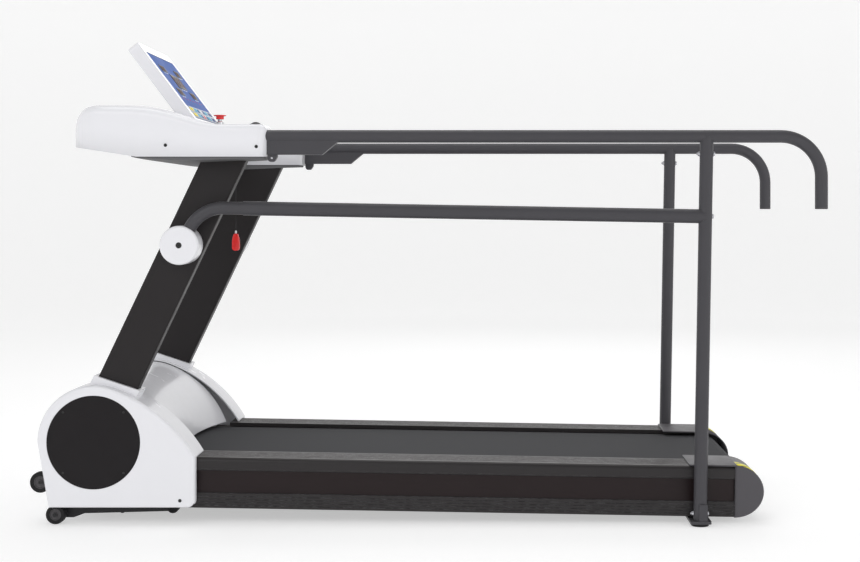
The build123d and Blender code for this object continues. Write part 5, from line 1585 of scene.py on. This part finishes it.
# ---------------------------------------------------------------- fasteners
def cross_screw(radius: float, high: float) -> Shape:
    """A domed screw head with a cross recess, standing on XY.

    Args:
        radius: the head's radius.
        high: how far it stands up.

    Returns:
        The head.
    """
    head = Shape()
    plan = radius * 0.62
    bmesh.ops.create_grid(head.bm, x_segments=3, y_segments=3, size=plan / 2)
    arms = [f for f in head.bm.faces
            if min(abs(f.calc_center_median().x), abs(f.calc_center_median().y)) < plan / 8]
    rim = [e for e in head.bm.edges if e.is_boundary]
    ring = bmesh.ops.create_circle(head.bm, cap_ends=False, segments=24, radius=radius * 0.86)
    ring_edges = list({e for v in ring["verts"] for e in v.link_edges})
    bmesh.ops.bridge_loops(head.bm, edges=rim + ring_edges)
    bmesh.ops.translate(head.bm, verts=head.bm.verts, vec=(0, 0, high))
    made = bmesh.ops.extrude_face_region(head.bm, geom=arms)
    sunk = [g for g in made["geom"] if isinstance(g, bmesh.types.BMVert)]
    bmesh.ops.translate(head.bm, verts=sunk, vec=(0, 0, -high * 0.7))
    bmesh.ops.delete(head.bm, geom=[f for f in arms if f.is_valid], context="FACES_ONLY")
    for grown, lift in ((radius, -high * 0.35), (radius, -high - 0.2 * MM)):
        edge = [e for e in head.bm.edges
                if e.is_boundary and max(v.co.xy.length for v in e.verts) > radius * 0.8]
        skirt = bmesh.ops.extrude_edge_only(head.bm, edges=edge)
        lower = [g for g in skirt["geom"] if isinstance(g, bmesh.types.BMVert)]
        for vert in lower:
            flat = vert.co.xy.normalized() * grown
            vert.co = Vector((flat.x, flat.y, high + lift))
    return head.face_out()


def hex_bolt(across: float, high: float, washer_r: float) -> Shape:
    """A hexagon head with chamfered corners on a washer, standing on XY.

    Args:
        across: the hexagon's corner radius.
        high: the head's height.
        washer_r: the washer's radius.

    Returns:
        The head and its washer.
    """
    head = Shape()
    bmesh.ops.create_circle(head.bm, cap_ends=True, segments=6, radius=across)
    head.grow(head.bm.faces[:], (0, 0, high))
    head.soften(across * 0.09, 2, 40.0, lambda p: p.z > high * 0.9)
    head.place(Matrix.Translation((0, 0, 1.8 * MM)))
    washer = Shape.lathe([(0, 0), (washer_r, 0), (washer_r, 1.3 * MM), (washer_r - 0.5 * MM, 1.8 * MM),
                          (0, 1.8 * MM)], 32)
    return head.join(washer)


@dataclass
class Fasteners:
    """Cover screws, the bolts of the handrails and the socket screws in the hubs."""

    disc_x: float = -991.5 * MM
    disc_z: float = 245 * MM
    disc_screw_r: float = 127 * MM
    disc_face: float = 430.4 * MM
    hood_face: float = 430 * MM
    console_face: float = 460 * MM
    rail_y: float = 430 * MM
    post_x: float = 804.5 * MM
    post_r: float = 20 * MM

    def cover_screws(self) -> None:
        """Set the screws of the discs, the hood and the console."""
        spots = []
        for turn in (45, 135, 225, 315):
            spots.append((self.disc_x + self.disc_screw_r * math.cos(math.radians(turn)), self.disc_face,
                          self.disc_z + self.disc_screw_r * math.sin(math.radians(turn)), 3.4 * MM))
        spots.append((-735 * MM, self.hood_face, 73 * MM, 5 * MM))
        spots.append((-771 * MM, self.console_face, 1124 * MM, 5 * MM))
        spots.append((-504 * MM, self.console_face, 1120 * MM, 5 * MM))
        heads = Shape()
        for x, y, z, r in spots:
            for side in (1, -1):
                heads.join(cross_screw(r, 1.4 * MM).place(facing((x, side * y, z), (0, side, 0))))
        heads.piece("cover_screw_heads", Look.SCREW, stands_for=("cover_screws",), slot="screw_black")

    def rail_bolts(self) -> None:
        """Set the bolts through the posts, and the socket screw at the middle of each hub."""
        bolts, sockets = Shape(), Shape()
        low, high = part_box("handrail_bolts")
        for side in (1, -1):
            for z in (1151.4 * MM - 52 * MM, 36 * MM):
                for way in (1, -1):
                    at_x = self.post_x + z * math.sin(math.radians(1)) + way * (self.post_r - 0.3 * MM)
                    spot = facing((at_x, side * self.rail_y, z), (way, 0, 0))
                    bolts.join(hex_bolt(6.5 * MM, 4 * MM, 8 * MM).place(spot))
                    if way < 0:
                        end = Shape.lathe([(0, 0), (3.6 * MM, 0), (3.6 * MM, 3.4 * MM), (2.9 * MM, 4.2 * MM),
                                           (0, 4.2 * MM)], 20)
                        bolts.join(end.place(spot @ Matrix.Translation((0, 0, 5.6 * MM))))
            joint = DECK @ Vector(((self.post_x + 690 * MM), 0, 894 * MM))
            spot = facing((joint.x + self.post_r - 0.3 * MM, side * self.rail_y, joint.z), (1, 0, 0))
            bolts.join(hex_bolt(6.5 * MM, 4 * MM, 8 * MM).place(spot))
            hub = DECK @ Vector((-57.2 * MM, 0, 781.5 * MM))
            seat = side * (high.y - 6 * MM)
            head = Shape.lathe([
                (3.6 * MM, 1.5 * MM), (3.6 * MM, 5.6 * MM), (4.2 * MM, 6 * MM), (7.4 * MM, 6 * MM),
                (8.4 * MM, 5 * MM), (8.4 * MM, 0), (0, 0), (0, 1.5 * MM), (3.6 * MM, 1.5 * MM)], 36)
            sockets.join(head.place(facing((hub.x, seat, hub.z), (0, side, 0))))
        bolts.piece("rail_bolt_heads", Look.ZINC, stands_for=("handrail_bolts",), slot="bolt_steel")
        sockets.piece("hub_socket_screws", Look.SCREW, slot="screw_black")

    def build(self) -> None:
        """Make every visible fastener."""
        self.cover_screws()
        self.rail_bolts()
        log.info("fasteners: cover screws, rail bolts and hub screws")


@dataclass
class RailClamps:
    """Small clamp lugs under the front of the upper rails' gussets."""

    front_x: float = -474 * MM
    rear_x: float = -446 * MM
    top_z: float = 1098 * MM
    low_z: float = 1076 * MM
    rail_y: float = 430 * MM
    thick: float = 20 * MM

    def build(self) -> None:
        """Cut both lugs and set their pins."""
        lugs, pins = Shape(), Shape()
        for side in (1, -1):
            tall = self.top_z - self.low_z
            long = self.rear_x - self.front_x
            outline = [(0, tall), (0, tall * 0.3), (5 * MM, 0), (long * 0.7, 0), (long, tall * 0.6),
                       (long, tall)]
            lug = Shape.slab(outline, self.thick, [0, 3 * MM, 3 * MM, 4 * MM, 4 * MM, 0], steps=4)
            lug.soften(0.8 * MM, 2, 50.0)
            spot = Matrix(((1, 0, 0, self.front_x), (0, 0, 1, side * self.rail_y - self.thick / 2),
                           (0, 1, 0, self.low_z), (0, 0, 0, 1)))
            lugs.join(lug.place(spot).face_out())
            pin = Shape.lathe([(0, 2.2 * MM), (2.2 * MM, 2.2 * MM), (3.4 * MM, 1.2 * MM), (3.4 * MM, -1 * MM),
                               (0, -1 * MM)], 24)
            middle = (self.front_x + long * 0.45, side * (self.rail_y + self.thick / 2),
                      self.low_z + tall * 0.5)
            pins.join(pin.place(facing(middle, (0, side, 0))))
        lugs.piece("rail_clamps", Look.RAIL_COAT, slot="rail_paint")
        pins.piece("rail_clamp_pins", Look.ZINC, slot="bolt_steel")
        log.info("rail clamps: two lugs with pins")


def main() -> None:
    """Build the studio and the machine's looks in order."""
    Studio().build()
    CarriedOver().dress()
    SafetyKey().build()
    Console().build()
    Display().build()
    StopButton().build()
    DomeButtons().build()
    EndCaps().build()
    SidePanels().build()
    for kind, grooves, edge in (("lift", 3, 4 * MM), ("transport", 2, 5 * MM)):
        for hand in ("left", "right"):
            Wheel(f"{kind}_wheel_{hand}", f"{kind}_{hand}", grooves, edge).build()
    Fasteners().build()
    RailClamps().build()
    log.info("sizes written")


if __name__ == "__main__":
    logging.basicConfig(level=logging.INFO, format="%(name)s %(message)s")
    main()
